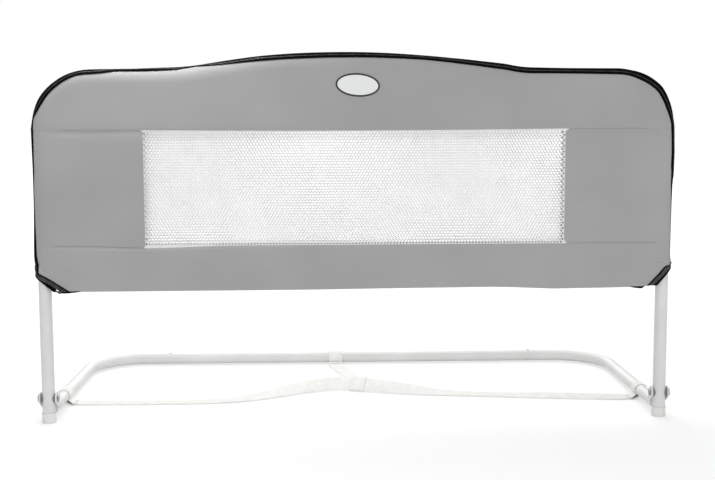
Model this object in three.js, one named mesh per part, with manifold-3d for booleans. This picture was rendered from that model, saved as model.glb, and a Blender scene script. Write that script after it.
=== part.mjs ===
// Folding bed guard rail: a tube frame inside a fabric cover, hinged to a tube base that lies
// under the mattress. Millimetres: X to the right, Y from the guard towards the bed, Z up.
import * as THREE from 'three';
import { mergeVertices } from 'three/addons/utils/BufferGeometryUtils.js';
import Module from 'manifold-3d';

const wasm = await Module();
wasm.setup();

// Driving dimensions

const FRAME = {
  legSpacing: 925,
  topHeight: 515,
  cornerRadius: 75,
  shoulderRun: 87.5,
  railRun: 38,
  humpRise: 23,
  humpEaseShare: 0.12,
  jointGap: 0.3,
};

const TUBE = {
  radius: 9.5,
  wall: 1.2,
  plugRadius: 7.8,
  plugLength: 45,
  collarLength: 3,
  collarRecess: 0.75,
  plugRoot: 1.5,
  sides: 20,
  boreSides: 12,
  cornerSteps: 7,
  easeSteps: 1,
  humpSteps: 8,
};

const BASE = {
  depth: 400,
  armHeight: 16.8,
  bendRadius: 95,
  jointRun: 17.5,
};

const PIVOT = {
  height: 37,
  boltRadius: 3,
  boltClearance: 0.3,
  headRadius: 6.5,
  headHeight: 2.2,
  headDomeShare: 0.45,
  nutRadius: 5.4,
  nutHeight: 2.2,
  nutBore: 3.25,
  nutSides: 6,
  saddleRadius: 8,
  saddleThickness: 1,
  earRadius: 9.5,
  earThickness: 2,
  earBackDegrees: 15,
  earFrontDegrees: 202.5,
  webClearance: 3.1,
  spigotLength: 22,
  stackGap: 0.3,
};

const CAP = {
  height: 15,
  wall: 0.9,
  floor: 3,
  chamfer: 1,
  gap: 0.3,
};

const BUTTON = {
  stemRadius: 2.4,
  flangeRadius: 3.1,
  flangeBase: 4.2,
  flangeThickness: 1.1,
  domeStart: 10.2,
  domeShoulder: 2,
  domeShoulderHeight: 10.9,
  domeTop: 11.3,
  holeClearance: 0.3,
  inset: 20,
  sides: 16,
};

const LEAF = {
  thickness: 0.6,
  width: 5,
  padHalf: 2,
  footInset: 16,
  footEnd: 22,
  topGap: 0.3,
  wallGap: 0.3,
};

const STRAP = {
  width: 25,
  thickness: 1.4,
  gap: 0.3,
  loopY: 112,
  crossbarX: -22,
  tailReach: 20,
  tailDrop: 13.2,
  barTailDrop: 9.8,
  tailStartDegrees: -36,
  tailEndDegrees: -75,
  centreLoopSlip: 0.4,
  loopSides: 20,
  steps: 60,
  tetherSteps: 18,
};

const COVER = {
  tubeGap: 0.8,
  cloth: 1.4,
  seamGap: 0.3,
  shoulderDrop: 2,
  netHeight: 170,
  lowerHeight: 68,
  sideWidth: 151.5,
};

const CORNER = {
  left: { rise: 25, run: 34 },
  right: { rise: 31, run: 24 },
};

const NET = {
  thickness: 0.8,
  columns: 26,
  rows: 7,
  margin: 4,
  bar: 1.8,
};

const ZIP = {
  tapeThickness: 0.8,
  innerTape: 3.5,
  coilWidth: 2,
  coilThickness: 1.2,
  coilGap: 0.35,
  outerTape: 2,
  sliderWidth: 7,
  sliderLength: 9,
  sliderThickness: 1.8,
  sliderGap: 0.4,
  bridgeThickness: 1.1,
  bridgeHeight: 2.2,
  bridgeWidth: 2.6,
  restShare: 0.06,
  noseShare: 0.6,
};

const BADGE = {
  x: 4,
  belowRail: 11.5,
  halfWidth: 32.5,
  halfHeight: 16.4,
  border: 2.2,
  thickness: 0.9,
  gap: 0.3,
  leanDegrees: 4,
  steps: 32,
};

// Values worked out from the driving dimensions

const HALF = FRAME.legSpacing / 2;
const RAIL_JOINT = HALF - FRAME.cornerRadius - FRAME.shoulderRun;
const HUMP_HALF_SPAN = RAIL_JOINT - FRAME.railRun;
const BASE_JOINT = HALF - BASE.bendRadius - BASE.jointRun;
const BORE = TUBE.radius - TUBE.wall;
const PLUG_BORE = TUBE.plugRadius - TUBE.wall;
const CLOTH_IN = TUBE.radius + COVER.tubeGap;
const CLOTH_OUT = CLOTH_IN + COVER.cloth;
const LEG_BOTTOM = CAP.floor + CAP.gap;
const BAR_HEIGHT = TUBE.radius + STRAP.gap + STRAP.thickness;
const BASE_TILT = Math.asin((BASE.armHeight - BAR_HEIGHT) / BASE.depth);
const ARM_LENGTH = BASE.depth / Math.cos(BASE_TILT);
const NET_TOP = FRAME.topHeight - FRAME.cornerRadius - COVER.shoulderDrop;
const NET_BOTTOM = NET_TOP - COVER.netHeight;
const NET_HALF_WIDTH = HALF - COVER.sideWidth;
const HEM = NET_BOTTOM - COVER.lowerHeight;
const BADGE_HEIGHT = FRAME.topHeight - BADGE.belowRail;
const CUT_REACH = 2 * TUBE.radius;
const SADDLE_OUT = TUBE.radius + PIVOT.stackGap + PIVOT.saddleThickness;
const EAR_IN = SADDLE_OUT + PIVOT.stackGap;
const EAR_OUT = EAR_IN + PIVOT.earThickness;
const HEAD_IN = EAR_OUT + PIVOT.stackGap;
const WEB_FRONT = TUBE.radius + PIVOT.webClearance;
const WEB_BACK = WEB_FRONT + PIVOT.earThickness;

// Materials

function finish(color, roughness, metalness) {
  return new THREE.MeshStandardMaterial({ color, roughness, metalness });
}

const whitePaint = finish(0xe4e4e3, 0.35, 0.1);
const whitePlastic = finish(0xe2e2e0, 0.5, 0);
const zincSteel = finish(0xa9abad, 0.35, 0.9);
const springSteel = finish(0x7c7f82, 0.4, 0.9);
const blackNylon = finish(0x1b1b1c, 0.6, 0);
const greyCloth = finish(0xa1a1a1, 0.9, 0);
const whiteNet = finish(0xeeeeee, 0.85, 0);
const blackTape = finish(0x18181a, 0.85, 0);
const zipCoil = finish(0x2c2c2e, 0.45, 0);
const offWhiteWebbing = finish(0xe6e6e3, 0.9, 0);
const badgeFace = finish(0xeceeec, 0.7, 0);
const badgeBorder = finish(0x2f3b37, 0.7, 0);

// Booleans on closed meshes

function toSolid(geometry) {
  const bare = geometry.clone();
  bare.deleteAttribute('normal');
  bare.deleteAttribute('uv');
  const merged = mergeVertices(bare);
  return new wasm.Manifold(new wasm.Mesh({
    numProp: 3,
    vertProperties: new Float32Array(merged.attributes.position.array),
    triVerts: new Uint32Array(merged.index.array),
  }));
}

function toGeometry(solid) {
  const mesh = solid.getMesh();
  const geometry = new THREE.BufferGeometry();
  geometry.setAttribute('position', new THREE.BufferAttribute(mesh.vertProperties, 3));
  geometry.setIndex(new THREE.BufferAttribute(mesh.triVerts, 1));
  geometry.computeVertexNormals();
  return geometry;
}

function join(...geometries) {
  return toGeometry(geometries.map(toSolid).reduce((whole, piece) => whole.add(piece)));
}

function cut(geometry, ...cutters) {
  return toGeometry(cutters.map(toSolid).reduce((whole, piece) => whole.subtract(piece), toSolid(geometry)));
}

// Outlines in the guard's plane: x to the right, y for height

function arc(cx, cy, radius, from, to, steps) {
  const points = [];
  for (let i = 0; i <= steps; i += 1) {
    const angle = from + ((to - from) * i) / steps;
    points.push(new THREE.Vector2(cx + radius * Math.cos(angle), cy + radius * Math.sin(angle)));
  }
  return points;
}

function mirrored(points) {
  return points.map((point) => new THREE.Vector2(-point.x, point.y)).reverse();
}

// The left upper corner, from the leg to the flat top, at a distance outside the tube's centreline
function cornerPoints(offset) {
  const { cornerRadius, topHeight } = FRAME;
  const centreX = cornerRadius - HALF;
  const centreZ = topHeight - cornerRadius;
  return arc(centreX, centreZ, cornerRadius + offset, Math.PI, Math.PI / 2, TUBE.cornerSteps);
}

// The hump: a wide arc between two short arcs that ease it into the flat top
function humpPoints(offset) {
  const { humpRise, humpEaseShare, topHeight } = FRAME;
  const angle = 2 * Math.atan(humpRise / HUMP_HALF_SPAN);
  const bothRadii = HUMP_HALF_SPAN / Math.sin(angle);
  const easeRadius = bothRadii * humpEaseShare;
  const wideRadius = bothRadii - easeRadius;
  const down = -Math.PI / 2;
  const up = Math.PI / 2;
  const easeZ = topHeight + easeRadius;
  const ease = arc(-HUMP_HALF_SPAN, easeZ, easeRadius - offset, down, down + angle, TUBE.easeSteps);
  const wideZ = topHeight + humpRise - wideRadius;
  const wide = arc(0, wideZ, wideRadius + offset, up + angle, up - angle, TUBE.humpSteps);
  return [...ease, ...wide.slice(1, -1), ...mirrored(ease)];
}

// Where the cover's side meets its slanted lower corner, and where the slant meets the hem
function slantPoints(corner, offset) {
  const angle = Math.atan2(corner.rise, corner.run);
  const out = offset - CLOTH_OUT;
  const sideZ = HEM + corner.rise - (out * (1 - Math.sin(angle))) / Math.cos(angle);
  const hemX = (corner.rise * Math.cos(angle) - out) / Math.sin(angle) - HALF - CLOTH_OUT;
  return [new THREE.Vector2(hemX, HEM), new THREE.Vector2(-HALF - offset, sideZ)];
}

// The cover's whole edge but the hem, from the left slant over the top to the right slant
function coverEdge(offset) {
  const left = [...slantPoints(CORNER.left, offset), ...cornerPoints(offset)];
  const right = [...slantPoints(CORNER.right, offset), ...cornerPoints(offset)];
  return [...left, ...humpPoints(offset), ...mirrored(right)];
}

// The same edge above a height, without the slants
function upperEdge(offset, height) {
  const side = [new THREE.Vector2(-HALF - offset, height), ...cornerPoints(offset)];
  return [...side, ...humpPoints(offset), ...mirrored(side)];
}

function sideEdge(offset, corner) {
  return new THREE.Vector2(-HALF - offset, slantPoints(corner, CLOTH_OUT)[1].y);
}

// Solids

// A sheet that lies in the guard's plane, from one y to another
function sheet(outline, near, far, holes = []) {
  const shape = new THREE.Shape(outline);
  shape.holes = holes.map((hole) => new THREE.Path(hole));
  const geometry = new THREE.ExtrudeGeometry(shape, { depth: far - near, bevelEnabled: false });
  geometry.rotateX(Math.PI / 2);
  geometry.translate(0, far, 0);
  return geometry;
}

// A band that follows the edge between two distances from the tube's centreline
function edgeBand(edge, inner, outer, near, far) {
  return sheet([...edge(outer), ...edge(inner).reverse()], near, far);
}

function rectangle(left, right, bottom, top) {
  return [
    new THREE.Vector2(left, bottom),
    new THREE.Vector2(right, bottom),
    new THREE.Vector2(right, top),
    new THREE.Vector2(left, top),
  ];
}

function oval(cx, cy, halfWidth, halfHeight, steps) {
  const points = [];
  for (let i = 0; i < steps; i += 1) {
    const angle = (2 * Math.PI * i) / steps;
    points.push(new THREE.Vector2(cx + halfWidth * Math.cos(angle), cy + halfHeight * Math.sin(angle)));
  }
  return points;
}

function circle(radius, sides) {
  return oval(0, 0, radius, radius, sides);
}

// A path whose stations are kept as they are, so that a straight run takes one step
class Stations extends THREE.Curve {
  constructor(points) {
    super();
    this.points = points;
  }

  getSpacedPoints() {
    return this.points;
  }

  getTangentAt(u, target = new THREE.Vector3()) {
    const last = this.points.length - 1;
    const i = Math.round(u * last);
    const before = this.points[Math.max(i - 1, 0)];
    const after = this.points[Math.min(i + 1, last)];
    const back = new THREE.Vector3().subVectors(this.points[i], before).normalize();
    const on = new THREE.Vector3().subVectors(after, this.points[i]).normalize();
    return target.addVectors(back, on).normalize();
  }
}

function tube(points, outer, inner) {
  const section = new THREE.Shape(circle(outer, TUBE.sides));
  if (inner > 0) {
    section.holes = [new THREE.Path(circle(inner, TUBE.boreSides))];
  }
  return new THREE.ExtrudeGeometry(section, { steps: points.length - 1, extrudePath: new Stations(points) });
}

function turned(profile, sides) {
  const points = profile.map(([radius, height]) => new THREE.Vector2(radius, height));
  const geometry = new THREE.LatheGeometry(points, sides);
  geometry.rotateX(Math.PI / 2);
  return geometry;
}

// A solid round bar between two points
function rod(from, to, radius, sides = TUBE.sides) {
  const along = new THREE.Vector3().subVectors(to, from);
  const geometry = turned([[0, 0], [radius, 0], [radius, along.length()], [0, along.length()]], sides);
  const turn = new THREE.Quaternion().setFromUnitVectors(new THREE.Vector3(0, 0, 1), along.normalize());
  geometry.applyQuaternion(turn);
  geometry.translate(from.x, from.y, from.z);
  return geometry;
}

// An outline drawn across X and swept along it: its x is Y in the model and its y is Z
function acrossX(outline, from, to, holes = []) {
  const shape = new THREE.Shape(outline);
  shape.holes = holes.map((hole) => new THREE.Path(hole));
  const geometry = new THREE.ExtrudeGeometry(shape, { depth: to - from, bevelEnabled: false });
  const turn = new THREE.Matrix4().makeBasis(
    new THREE.Vector3(0, 1, 0),
    new THREE.Vector3(0, 0, 1),
    new THREE.Vector3(1, 0, 0),
  );
  geometry.applyMatrix4(turn);
  geometry.translate(from, 0, 0);
  return geometry;
}

function box(from, to) {
  const size = new THREE.Vector3().subVectors(to, from);
  const geometry = new THREE.BoxGeometry(size.x, size.y, size.z);
  geometry.translate(...new THREE.Vector3().addVectors(from, to).divideScalar(2).toArray());
  return geometry;
}

const part = new THREE.Group();
const guard = new THREE.Group();
const base = new THREE.Group();

// The base lies a little nose-down: its arms run from the hinges to the crossbar on the floor
base.position.z = BASE.armHeight;
base.rotation.x = -BASE_TILT;

function add(group, name, geometry, material) {
  const mesh = new THREE.Mesh(geometry, material);
  mesh.name = name;
  group.add(mesh);
  return mesh;
}

const SIDES = [{ name: 'left', sign: -1 }, { name: 'right', sign: 1 }];

function inGuardPlane(point) {
  return new THREE.Vector3(point.x, 0, point.y);
}

// Snap buttons: a button that stands out of both tube walls, on a bent leaf inside the plug

function buttonGeometry() {
  const flangeTop = BUTTON.flangeBase + BUTTON.flangeThickness;
  return turned([
    [0, BUTTON.flangeBase],
    [BUTTON.flangeRadius, BUTTON.flangeBase],
    [BUTTON.flangeRadius, flangeTop],
    [BUTTON.stemRadius, flangeTop],
    [BUTTON.stemRadius, BUTTON.domeStart],
    [BUTTON.domeShoulder, BUTTON.domeShoulderHeight],
    [0, BUTTON.domeTop],
  ], BUTTON.sides);
}

// The leaf runs from under the button to the far wall, towards the plug's tip
function leafGeometry(towards) {
  const half = LEAF.thickness / 2;
  const top = BUTTON.flangeBase - LEAF.topGap - half;
  const chord = PLUG_BORE * Math.cos(Math.PI / TUBE.boreSides);
  const bottom = LEAF.wallGap + half - Math.sqrt(chord ** 2 - (LEAF.width / 2) ** 2);
  const line = [[-LEAF.padHalf, top], [LEAF.padHalf, top], [LEAF.footInset, bottom], [LEAF.footEnd, bottom]];
  const upper = line.map(([x, z]) => new THREE.Vector2(towards * x, z + half));
  const lower = line.map(([x, z]) => new THREE.Vector2(towards * x, z - half)).reverse();
  return sheet([...upper, ...lower], -LEAF.width / 2, LEAF.width / 2);
}

function buttonHole(x, y, z, direction) {
  const from = new THREE.Vector3(x, y, z + direction * BUTTON.flangeBase);
  const to = new THREE.Vector3(x, y, z + direction * CUT_REACH);
  return rod(from, to, BUTTON.stemRadius + BUTTON.holeClearance, BUTTON.sides);
}

// Guard frame

// The leg with its upper corner, open at both ends, drilled for the hinge bolt and the button
function sideTube({ sign }) {
  const start = new THREE.Vector2(-HALF, LEG_BOTTOM);
  const end = new THREE.Vector2(-RAIL_JOINT, FRAME.topHeight);
  const points = [start, ...cornerPoints(0), end]
    .map((point) => inGuardPlane({ x: -sign * point.x, y: point.y }));
  const boltHole = rod(
    new THREE.Vector3(sign * (HALF - CUT_REACH), 0, PIVOT.height),
    new THREE.Vector3(sign * (HALF + CUT_REACH), 0, PIVOT.height),
    PIVOT.boltRadius + PIVOT.boltClearance,
    BUTTON.sides,
  );
  const hole = buttonHole(sign * (RAIL_JOINT + BUTTON.inset), 0, FRAME.topHeight, -1);
  return cut(tube(points, TUBE.radius, BORE), boltHole, hole);
}

// A tube's reduced end: a collar inside the tube's mouth and a plug that slides into the next tube
function plugEnd(end, direction) {
  const along = (distance) => end.clone().addScaledVector(direction, distance);
  const { collarLength, collarRecess, plugRoot, plugLength, plugRadius, wall } = TUBE;
  const collar = [along(-collarLength), along(-collarRecess)];
  const plug = [along(-plugRoot), along(plugLength)];
  return [tube(collar, BORE + wall / 2, PLUG_BORE + wall / 2), tube(plug, plugRadius, PLUG_BORE)];
}

function topRail() {
  const at = RAIL_JOINT - FRAME.jointGap;
  const onRail = (x) => new THREE.Vector3(x, 0, FRAME.topHeight);
  const points = [onRail(-at), ...humpPoints(0).map(inGuardPlane), onRail(at)];
  const ends = SIDES.flatMap(({ sign }) => plugEnd(onRail(sign * at), new THREE.Vector3(sign, 0, 0)));
  const rail = join(tube(points, TUBE.radius, BORE), ...ends);
  const holes = SIDES.map(({ sign }) => (
    buttonHole(sign * (RAIL_JOINT + BUTTON.inset), 0, FRAME.topHeight, -1)));
  return cut(rail, ...holes);
}

function footCap({ sign }) {
  const inner = TUBE.radius + CAP.gap;
  const outer = inner + CAP.wall;
  const geometry = turned([
    [0, 0],
    [outer - CAP.chamfer, 0],
    [outer, CAP.chamfer],
    [outer, CAP.height],
    [inner, CAP.height],
    [inner, CAP.floor],
    [0, CAP.floor],
  ], TUBE.sides);
  geometry.translate(sign * HALF, 0, 0);
  return geometry;
}

for (const side of SIDES) {
  add(guard, `${side.name}_side_tube`, sideTube(side), whitePaint);
  add(guard, `${side.name}_foot_cap`, footCap(side), whitePlastic);
}
add(guard, 'top_rail', topRail(), whitePaint);

for (const { name, sign } of SIDES) {
  const x = sign * (RAIL_JOINT + BUTTON.inset);
  const button = add(guard, `${name}_rail_button`, buttonGeometry(), zincSteel);
  button.position.set(x, 0, FRAME.topHeight);
  button.rotation.x = Math.PI;
  const leaf = add(guard, `${name}_rail_button_leaf`, leafGeometry(sign), springSteel);
  leaf.position.set(x, 0, FRAME.topHeight);
  leaf.rotation.x = Math.PI;
}

// Hinge: a bolt through the leg, saddle washers on its round sides, and a fork that turns on it

function boltGeometry() {
  const end = HEAD_IN + PIVOT.nutHeight;
  return turned([
    [0, -end],
    [PIVOT.boltRadius, -end],
    [PIVOT.boltRadius, HEAD_IN],
    [PIVOT.headRadius, HEAD_IN],
    [PIVOT.headRadius, HEAD_IN + PIVOT.headHeight * PIVOT.headDomeShare],
    [PIVOT.headRadius / 2, HEAD_IN + PIVOT.headHeight],
    [0, HEAD_IN + PIVOT.headHeight],
  ], TUBE.sides);
}

function nutGeometry() {
  const outline = circle(PIVOT.nutRadius, PIVOT.nutSides);
  const ring = sheet(outline, 0, PIVOT.nutHeight, [circle(PIVOT.nutBore, BUTTON.sides)]);
  ring.rotateX(-Math.PI / 2);
  ring.translate(0, 0, -HEAD_IN - PIVOT.nutHeight);
  return ring;
}

// A round washer hollowed on one face to sit on the leg
function saddleGeometry() {
  const disc = rod(
    new THREE.Vector3(SADDLE_OUT - PIVOT.saddleThickness - TUBE.radius / 2, 0, 0),
    new THREE.Vector3(SADDLE_OUT, 0, 0),
    PIVOT.saddleRadius,
  );
  const legRoom = TUBE.radius + PIVOT.stackGap;
  const leg = rod(new THREE.Vector3(0, 0, -CUT_REACH), new THREE.Vector3(0, 0, CUT_REACH), legRoom);
  const bolt = rod(
    new THREE.Vector3(0, 0, 0),
    new THREE.Vector3(CUT_REACH, 0, 0),
    PIVOT.boltRadius + PIVOT.boltClearance,
    BUTTON.sides,
  );
  return cut(disc, leg, bolt);
}

for (const { name, sign } of SIDES) {
  const bolt = add(guard, `${name}_hinge_bolt`, boltGeometry(), zincSteel);
  const nut = add(guard, `${name}_hinge_nut`, nutGeometry(), zincSteel);
  const outer = add(guard, `${name}_outer_saddle_washer`, saddleGeometry(), blackNylon);
  const inner = add(guard, `${name}_inner_saddle_washer`, saddleGeometry(), blackNylon);
  for (const piece of [bolt, nut, outer, inner]) {
    piece.position.set(sign * HALF, 0, PIVOT.height);
  }
  bolt.rotation.y = (sign * Math.PI) / 2;
  nut.rotation.y = (sign * Math.PI) / 2;
  outer.rotation.z = sign > 0 ? 0 : Math.PI;
  inner.rotation.z = sign > 0 ? Math.PI : 0;
}

// The fork's ears reach from the bolt down to a web behind the leg, and a spigot fills the arm's end
function forkGeometry() {
  const rise = PIVOT.height - BASE.armHeight;
  const boltY = -rise * Math.sin(BASE_TILT);
  const boltZ = rise * Math.cos(BASE_TILT);
  const backAngle = THREE.MathUtils.degToRad(PIVOT.earBackDegrees);
  const frontAngle = THREE.MathUtils.degToRad(PIVOT.earFrontDegrees);
  const ear = [
    new THREE.Vector2(WEB_BACK, -TUBE.radius),
    new THREE.Vector2(WEB_BACK, TUBE.radius),
    ...arc(boltY, boltZ, PIVOT.earRadius, backAngle, frontAngle, TUBE.cornerSteps),
    new THREE.Vector2(WEB_FRONT / 2, -TUBE.radius),
  ];
  const hole = circle(PIVOT.boltRadius + PIVOT.boltClearance, BUTTON.sides)
    .map((point) => new THREE.Vector2(point.x + boltY, point.y + boltZ));
  const web = box(
    new THREE.Vector3(-EAR_OUT, WEB_FRONT, -TUBE.radius),
    new THREE.Vector3(EAR_OUT, WEB_BACK, TUBE.radius),
  );
  const spigot = rod(
    new THREE.Vector3(0, (WEB_FRONT + WEB_BACK) / 2, 0),
    new THREE.Vector3(0, WEB_BACK + PIVOT.spigotLength, 0),
    TUBE.plugRadius,
  );
  const ears = [acrossX(ear, -EAR_OUT, -EAR_IN, [hole]), acrossX(ear, EAR_IN, EAR_OUT, [hole])];
  return join(web, spigot, ...ears);
}

// Base tubes

// An arm with its rear bend, ending in the plug that holds the crossbar
function armTube({ sign }) {
  const { bendRadius } = BASE;
  const bendX = bendRadius - HALF;
  const bendY = ARM_LENGTH - bendRadius;
  const bend = arc(bendX, bendY, bendRadius, Math.PI, Math.PI / 2, TUBE.cornerSteps);
  const flat = [
    new THREE.Vector2(-HALF, WEB_BACK + PIVOT.stackGap),
    ...bend,
    new THREE.Vector2(-BASE_JOINT - FRAME.jointGap, ARM_LENGTH),
  ];
  const points = flat.map((point) => new THREE.Vector3(-sign * point.x, point.y, 0));
  const end = new THREE.Vector3(sign * (BASE_JOINT + FRAME.jointGap), ARM_LENGTH, 0);
  const arm = join(tube(points, TUBE.radius, BORE), ...plugEnd(end, new THREE.Vector3(-sign, 0, 0)));
  return cut(arm, buttonHole(sign * (BASE_JOINT - BUTTON.inset), ARM_LENGTH, 0, 1));
}

function crossbar() {
  const onBar = (x) => new THREE.Vector3(x, ARM_LENGTH, 0);
  const bar = tube([onBar(-BASE_JOINT), onBar(BASE_JOINT)], TUBE.radius, BORE);
  const holes = SIDES.map(({ sign }) => buttonHole(sign * (BASE_JOINT - BUTTON.inset), ARM_LENGTH, 0, 1));
  return cut(bar, ...holes);
}

for (const side of SIDES) {
  const fork = add(base, `${side.name}_hinge_fork`, forkGeometry(), whitePaint);
  fork.position.x = side.sign * HALF;
  add(base, `${side.name}_base_arm`, armTube(side), whitePaint);
}
add(base, 'base_crossbar', crossbar(), whitePaint);

for (const { name, sign } of SIDES) {
  const x = sign * (BASE_JOINT - BUTTON.inset);
  const button = add(base, `${name}_base_button`, buttonGeometry(), zincSteel);
  button.position.set(x, ARM_LENGTH, 0);
  const leaf = add(base, `${name}_base_button_leaf`, leafGeometry(-sign), springSteel);
  leaf.position.set(x, ARM_LENGTH, 0);
}

// Strap: a webbing strap between the arms, held back by a tether from the crossbar

// A loop round a tube with a tail of two layers, drawn with its tube at the origin
function loopOutline(tailDrop) {
  const outer = TUBE.radius + STRAP.gap + STRAP.thickness;
  const start = THREE.MathUtils.degToRad(STRAP.tailStartDegrees);
  const end = THREE.MathUtils.degToRad(STRAP.tailEndDegrees);
  return [
    ...arc(0, 0, outer, start, 2 * Math.PI + end, STRAP.loopSides),
    new THREE.Vector2(STRAP.tailReach, -tailDrop - STRAP.thickness),
    new THREE.Vector2(STRAP.tailReach, STRAP.thickness - tailDrop),
  ];
}

function armLoop({ sign }) {
  const outline = loopOutline(STRAP.tailDrop)
    .map((point) => new THREE.Vector2(-sign * point.x, point.y));
  const bore = circle(TUBE.radius + STRAP.gap, STRAP.loopSides);
  const half = STRAP.width / 2;
  const geometry = sheet(outline, STRAP.loopY - half, STRAP.loopY + half, [bore]);
  geometry.translate(sign * HALF, 0, 0);
  return geometry;
}

function crossbarLoop() {
  const outline = loopOutline(STRAP.barTailDrop)
    .map((point) => new THREE.Vector2(-point.x, point.y));
  const bore = circle(TUBE.radius + STRAP.gap, STRAP.loopSides);
  const half = STRAP.width / 2;
  const geometry = acrossX(outline, STRAP.crossbarX - half, STRAP.crossbarX + half, [bore]);
  geometry.translate(0, ARM_LENGTH, 0);
  return geometry;
}

// Route points: x, y, z of the strap's middle line and its tilt, in degrees from lying flat
const LOOP_POINT = [8, 182, 11.3, 40];

const STRAP_ROUTE = [
  [-442.2, 112, 2.1, 0],
  [-420, 112, 1.1, 0],
  [-330, 111, 1, 0],
  [-240, 113, 1, 0],
  [-180, 123, 2.8, 7],
  [-130, 146, 5.8, 22],
  [-88, 170, 8.4, 33],
  [-45, 187, 10.4, 39],
  [-18, 190.5, 11.2, 40],
  [-6, 187.2, 11.3, 40],
  LOOP_POINT,
  [22, 176.8, 11.3, 40],
  [35, 172.2, 11.2, 40],
  [66, 163, 9.2, 35],
  [110, 155, 5.8, 21],
  [150, 150, 2.6, 6],
  [240, 136, 1, 0],
  [333, 122, 1, 0],
  [420, 112, 1.1, 0],
  [442.2, 112, 2.1, 0],
];

const TETHER_ROUTE = [
  [-22, 379.4, 2, 0],
  [-21.5, 360, 1.1, 0],
  [-17, 315, 1, 0],
  [-8, 268, 1, 0],
  [0, 230, 1, 0],
  [6, 206, 1.2, 0],
  [9.5, 186, 2.6, 0],
];

// The corners of the band's section, in half widths and half thicknesses
const SECTION_SHARES = [[-1, -1], [1, -1], [1, 1], [-1, 1]];

// A flat band along a route: four corners at each station, closed at both ends
function ribbon(route, steps) {
  const corners = SECTION_SHARES.length;
  const line = new THREE.CatmullRomCurve3(route.map(([x, y, z]) => new THREE.Vector3(x, y, z)));
  const tilts = new THREE.CatmullRomCurve3(route.map(([, , , tilt]) => new THREE.Vector3(tilt, 0, 0)));
  const up = new THREE.Vector3(0, 0, 1);
  const position = [];
  for (let i = 0; i <= steps; i += 1) {
    const t = i / steps;
    const centre = line.getPoint(t);
    const along = line.getTangent(t);
    const tilt = THREE.MathUtils.degToRad(Math.max(tilts.getPoint(t).x, 0));
    const level = new THREE.Vector3().crossVectors(up, along).normalize();
    const across = level.multiplyScalar(Math.cos(tilt)).addScaledVector(up, Math.sin(tilt));
    across.addScaledVector(along, -across.dot(along)).normalize();
    const out = new THREE.Vector3().crossVectors(along, across);
    for (const [u, v] of SECTION_SHARES) {
      const corner = centre.clone()
        .addScaledVector(across, (u * STRAP.width) / 2)
        .addScaledVector(out, (v * STRAP.thickness) / 2);
      position.push(...corner.toArray());
    }
  }
  const index = [0, 3, 2, 0, 2, 1];
  for (let i = 0; i < steps; i += 1) {
    for (let k = 0; k < corners; k += 1) {
      const here = corners * i;
      const next = here + corners;
      const turn = (k + 1) % corners;
      index.push(here + k, here + turn, next + turn, here + k, next + turn, next + k);
    }
  }
  const last = corners * steps;
  index.push(last, last + 1, last + 2, last, last + 2, last + 3);
  const geometry = new THREE.BufferGeometry();
  geometry.setAttribute('position', new THREE.Float32BufferAttribute(position, 3));
  geometry.setIndex(index);
  geometry.computeVertexNormals();
  return geometry;
}

// The tether's end loop, a flat sleeve round the strap where it is pulled back
function centreLoop() {
  const innerWidth = STRAP.width + 2 * STRAP.centreLoopSlip;
  const innerDepth = STRAP.thickness + 2 * STRAP.centreLoopSlip;
  const outerWidth = innerWidth + 2 * STRAP.thickness;
  const outerDepth = innerDepth + 2 * STRAP.thickness;
  const outer = rectangle(-outerWidth / 2, outerWidth / 2, -outerDepth / 2, outerDepth / 2);
  const inner = rectangle(-innerWidth / 2, innerWidth / 2, -innerDepth / 2, innerDepth / 2);
  const shape = new THREE.Shape(outer);
  shape.holes = [new THREE.Path(inner)];
  const geometry = new THREE.ExtrudeGeometry(shape, { depth: STRAP.width, bevelEnabled: false });
  geometry.translate(0, 0, -STRAP.width / 2);
  const station = STRAP_ROUTE.indexOf(LOOP_POINT);
  const [x, y, z, degrees] = LOOP_POINT;
  const [before, after] = [STRAP_ROUTE[station - 1], STRAP_ROUTE[station + 1]];
  const along = new THREE.Vector3(after[0] - before[0], after[1] - before[1], 0).normalize();
  const tilt = THREE.MathUtils.degToRad(degrees);
  const up = new THREE.Vector3(0, 0, 1);
  const across = new THREE.Vector3().crossVectors(up, along).multiplyScalar(Math.cos(tilt));
  across.addScaledVector(up, Math.sin(tilt));
  const out = new THREE.Vector3().crossVectors(along, across);
  geometry.applyMatrix4(new THREE.Matrix4().makeBasis(across, out, along));
  geometry.translate(x, y, z);
  return geometry;
}

for (const side of SIDES) {
  add(base, `${side.name}_arm_loop`, armLoop(side), offWhiteWebbing);
}
add(base, 'crossbar_loop', crossbarLoop(), offWhiteWebbing);
add(part, 'long_strap', ribbon(STRAP_ROUTE, STRAP.steps), offWhiteWebbing);
add(part, 'tether_strap', ribbon(TETHER_ROUTE, STRAP.tetherSteps), offWhiteWebbing);
add(part, 'tether_loop', centreLoop(), offWhiteWebbing);

// Cover

// The four cloth pieces round the net, each with the seam gap to its neighbours
function faceCloths(face, near, far) {
  const half = COVER.seamGap / 2;
  const edge = HALF + CLOTH_OUT;
  const lower = [
    ...slantPoints(CORNER.left, CLOTH_OUT),
    new THREE.Vector2(-edge, NET_BOTTOM - half),
    new THREE.Vector2(edge, NET_BOTTOM - half),
    ...mirrored(slantPoints(CORNER.right, CLOTH_OUT)),
  ];
  const left = rectangle(-edge, -NET_HALF_WIDTH - half, NET_BOTTOM + half, NET_TOP - half);
  const right = rectangle(NET_HALF_WIDTH + half, edge, NET_BOTTOM + half, NET_TOP - half);
  add(guard, `cover_${face}_upper`, sheet(upperEdge(CLOTH_OUT, NET_TOP + half), near, far), greyCloth);
  add(guard, `cover_${face}_lower`, sheet(lower, near, far), greyCloth);
  add(guard, `cover_${face}_left`, sheet(left, near, far), greyCloth);
  add(guard, `cover_${face}_right`, sheet(right, near, far), greyCloth);
}

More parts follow.
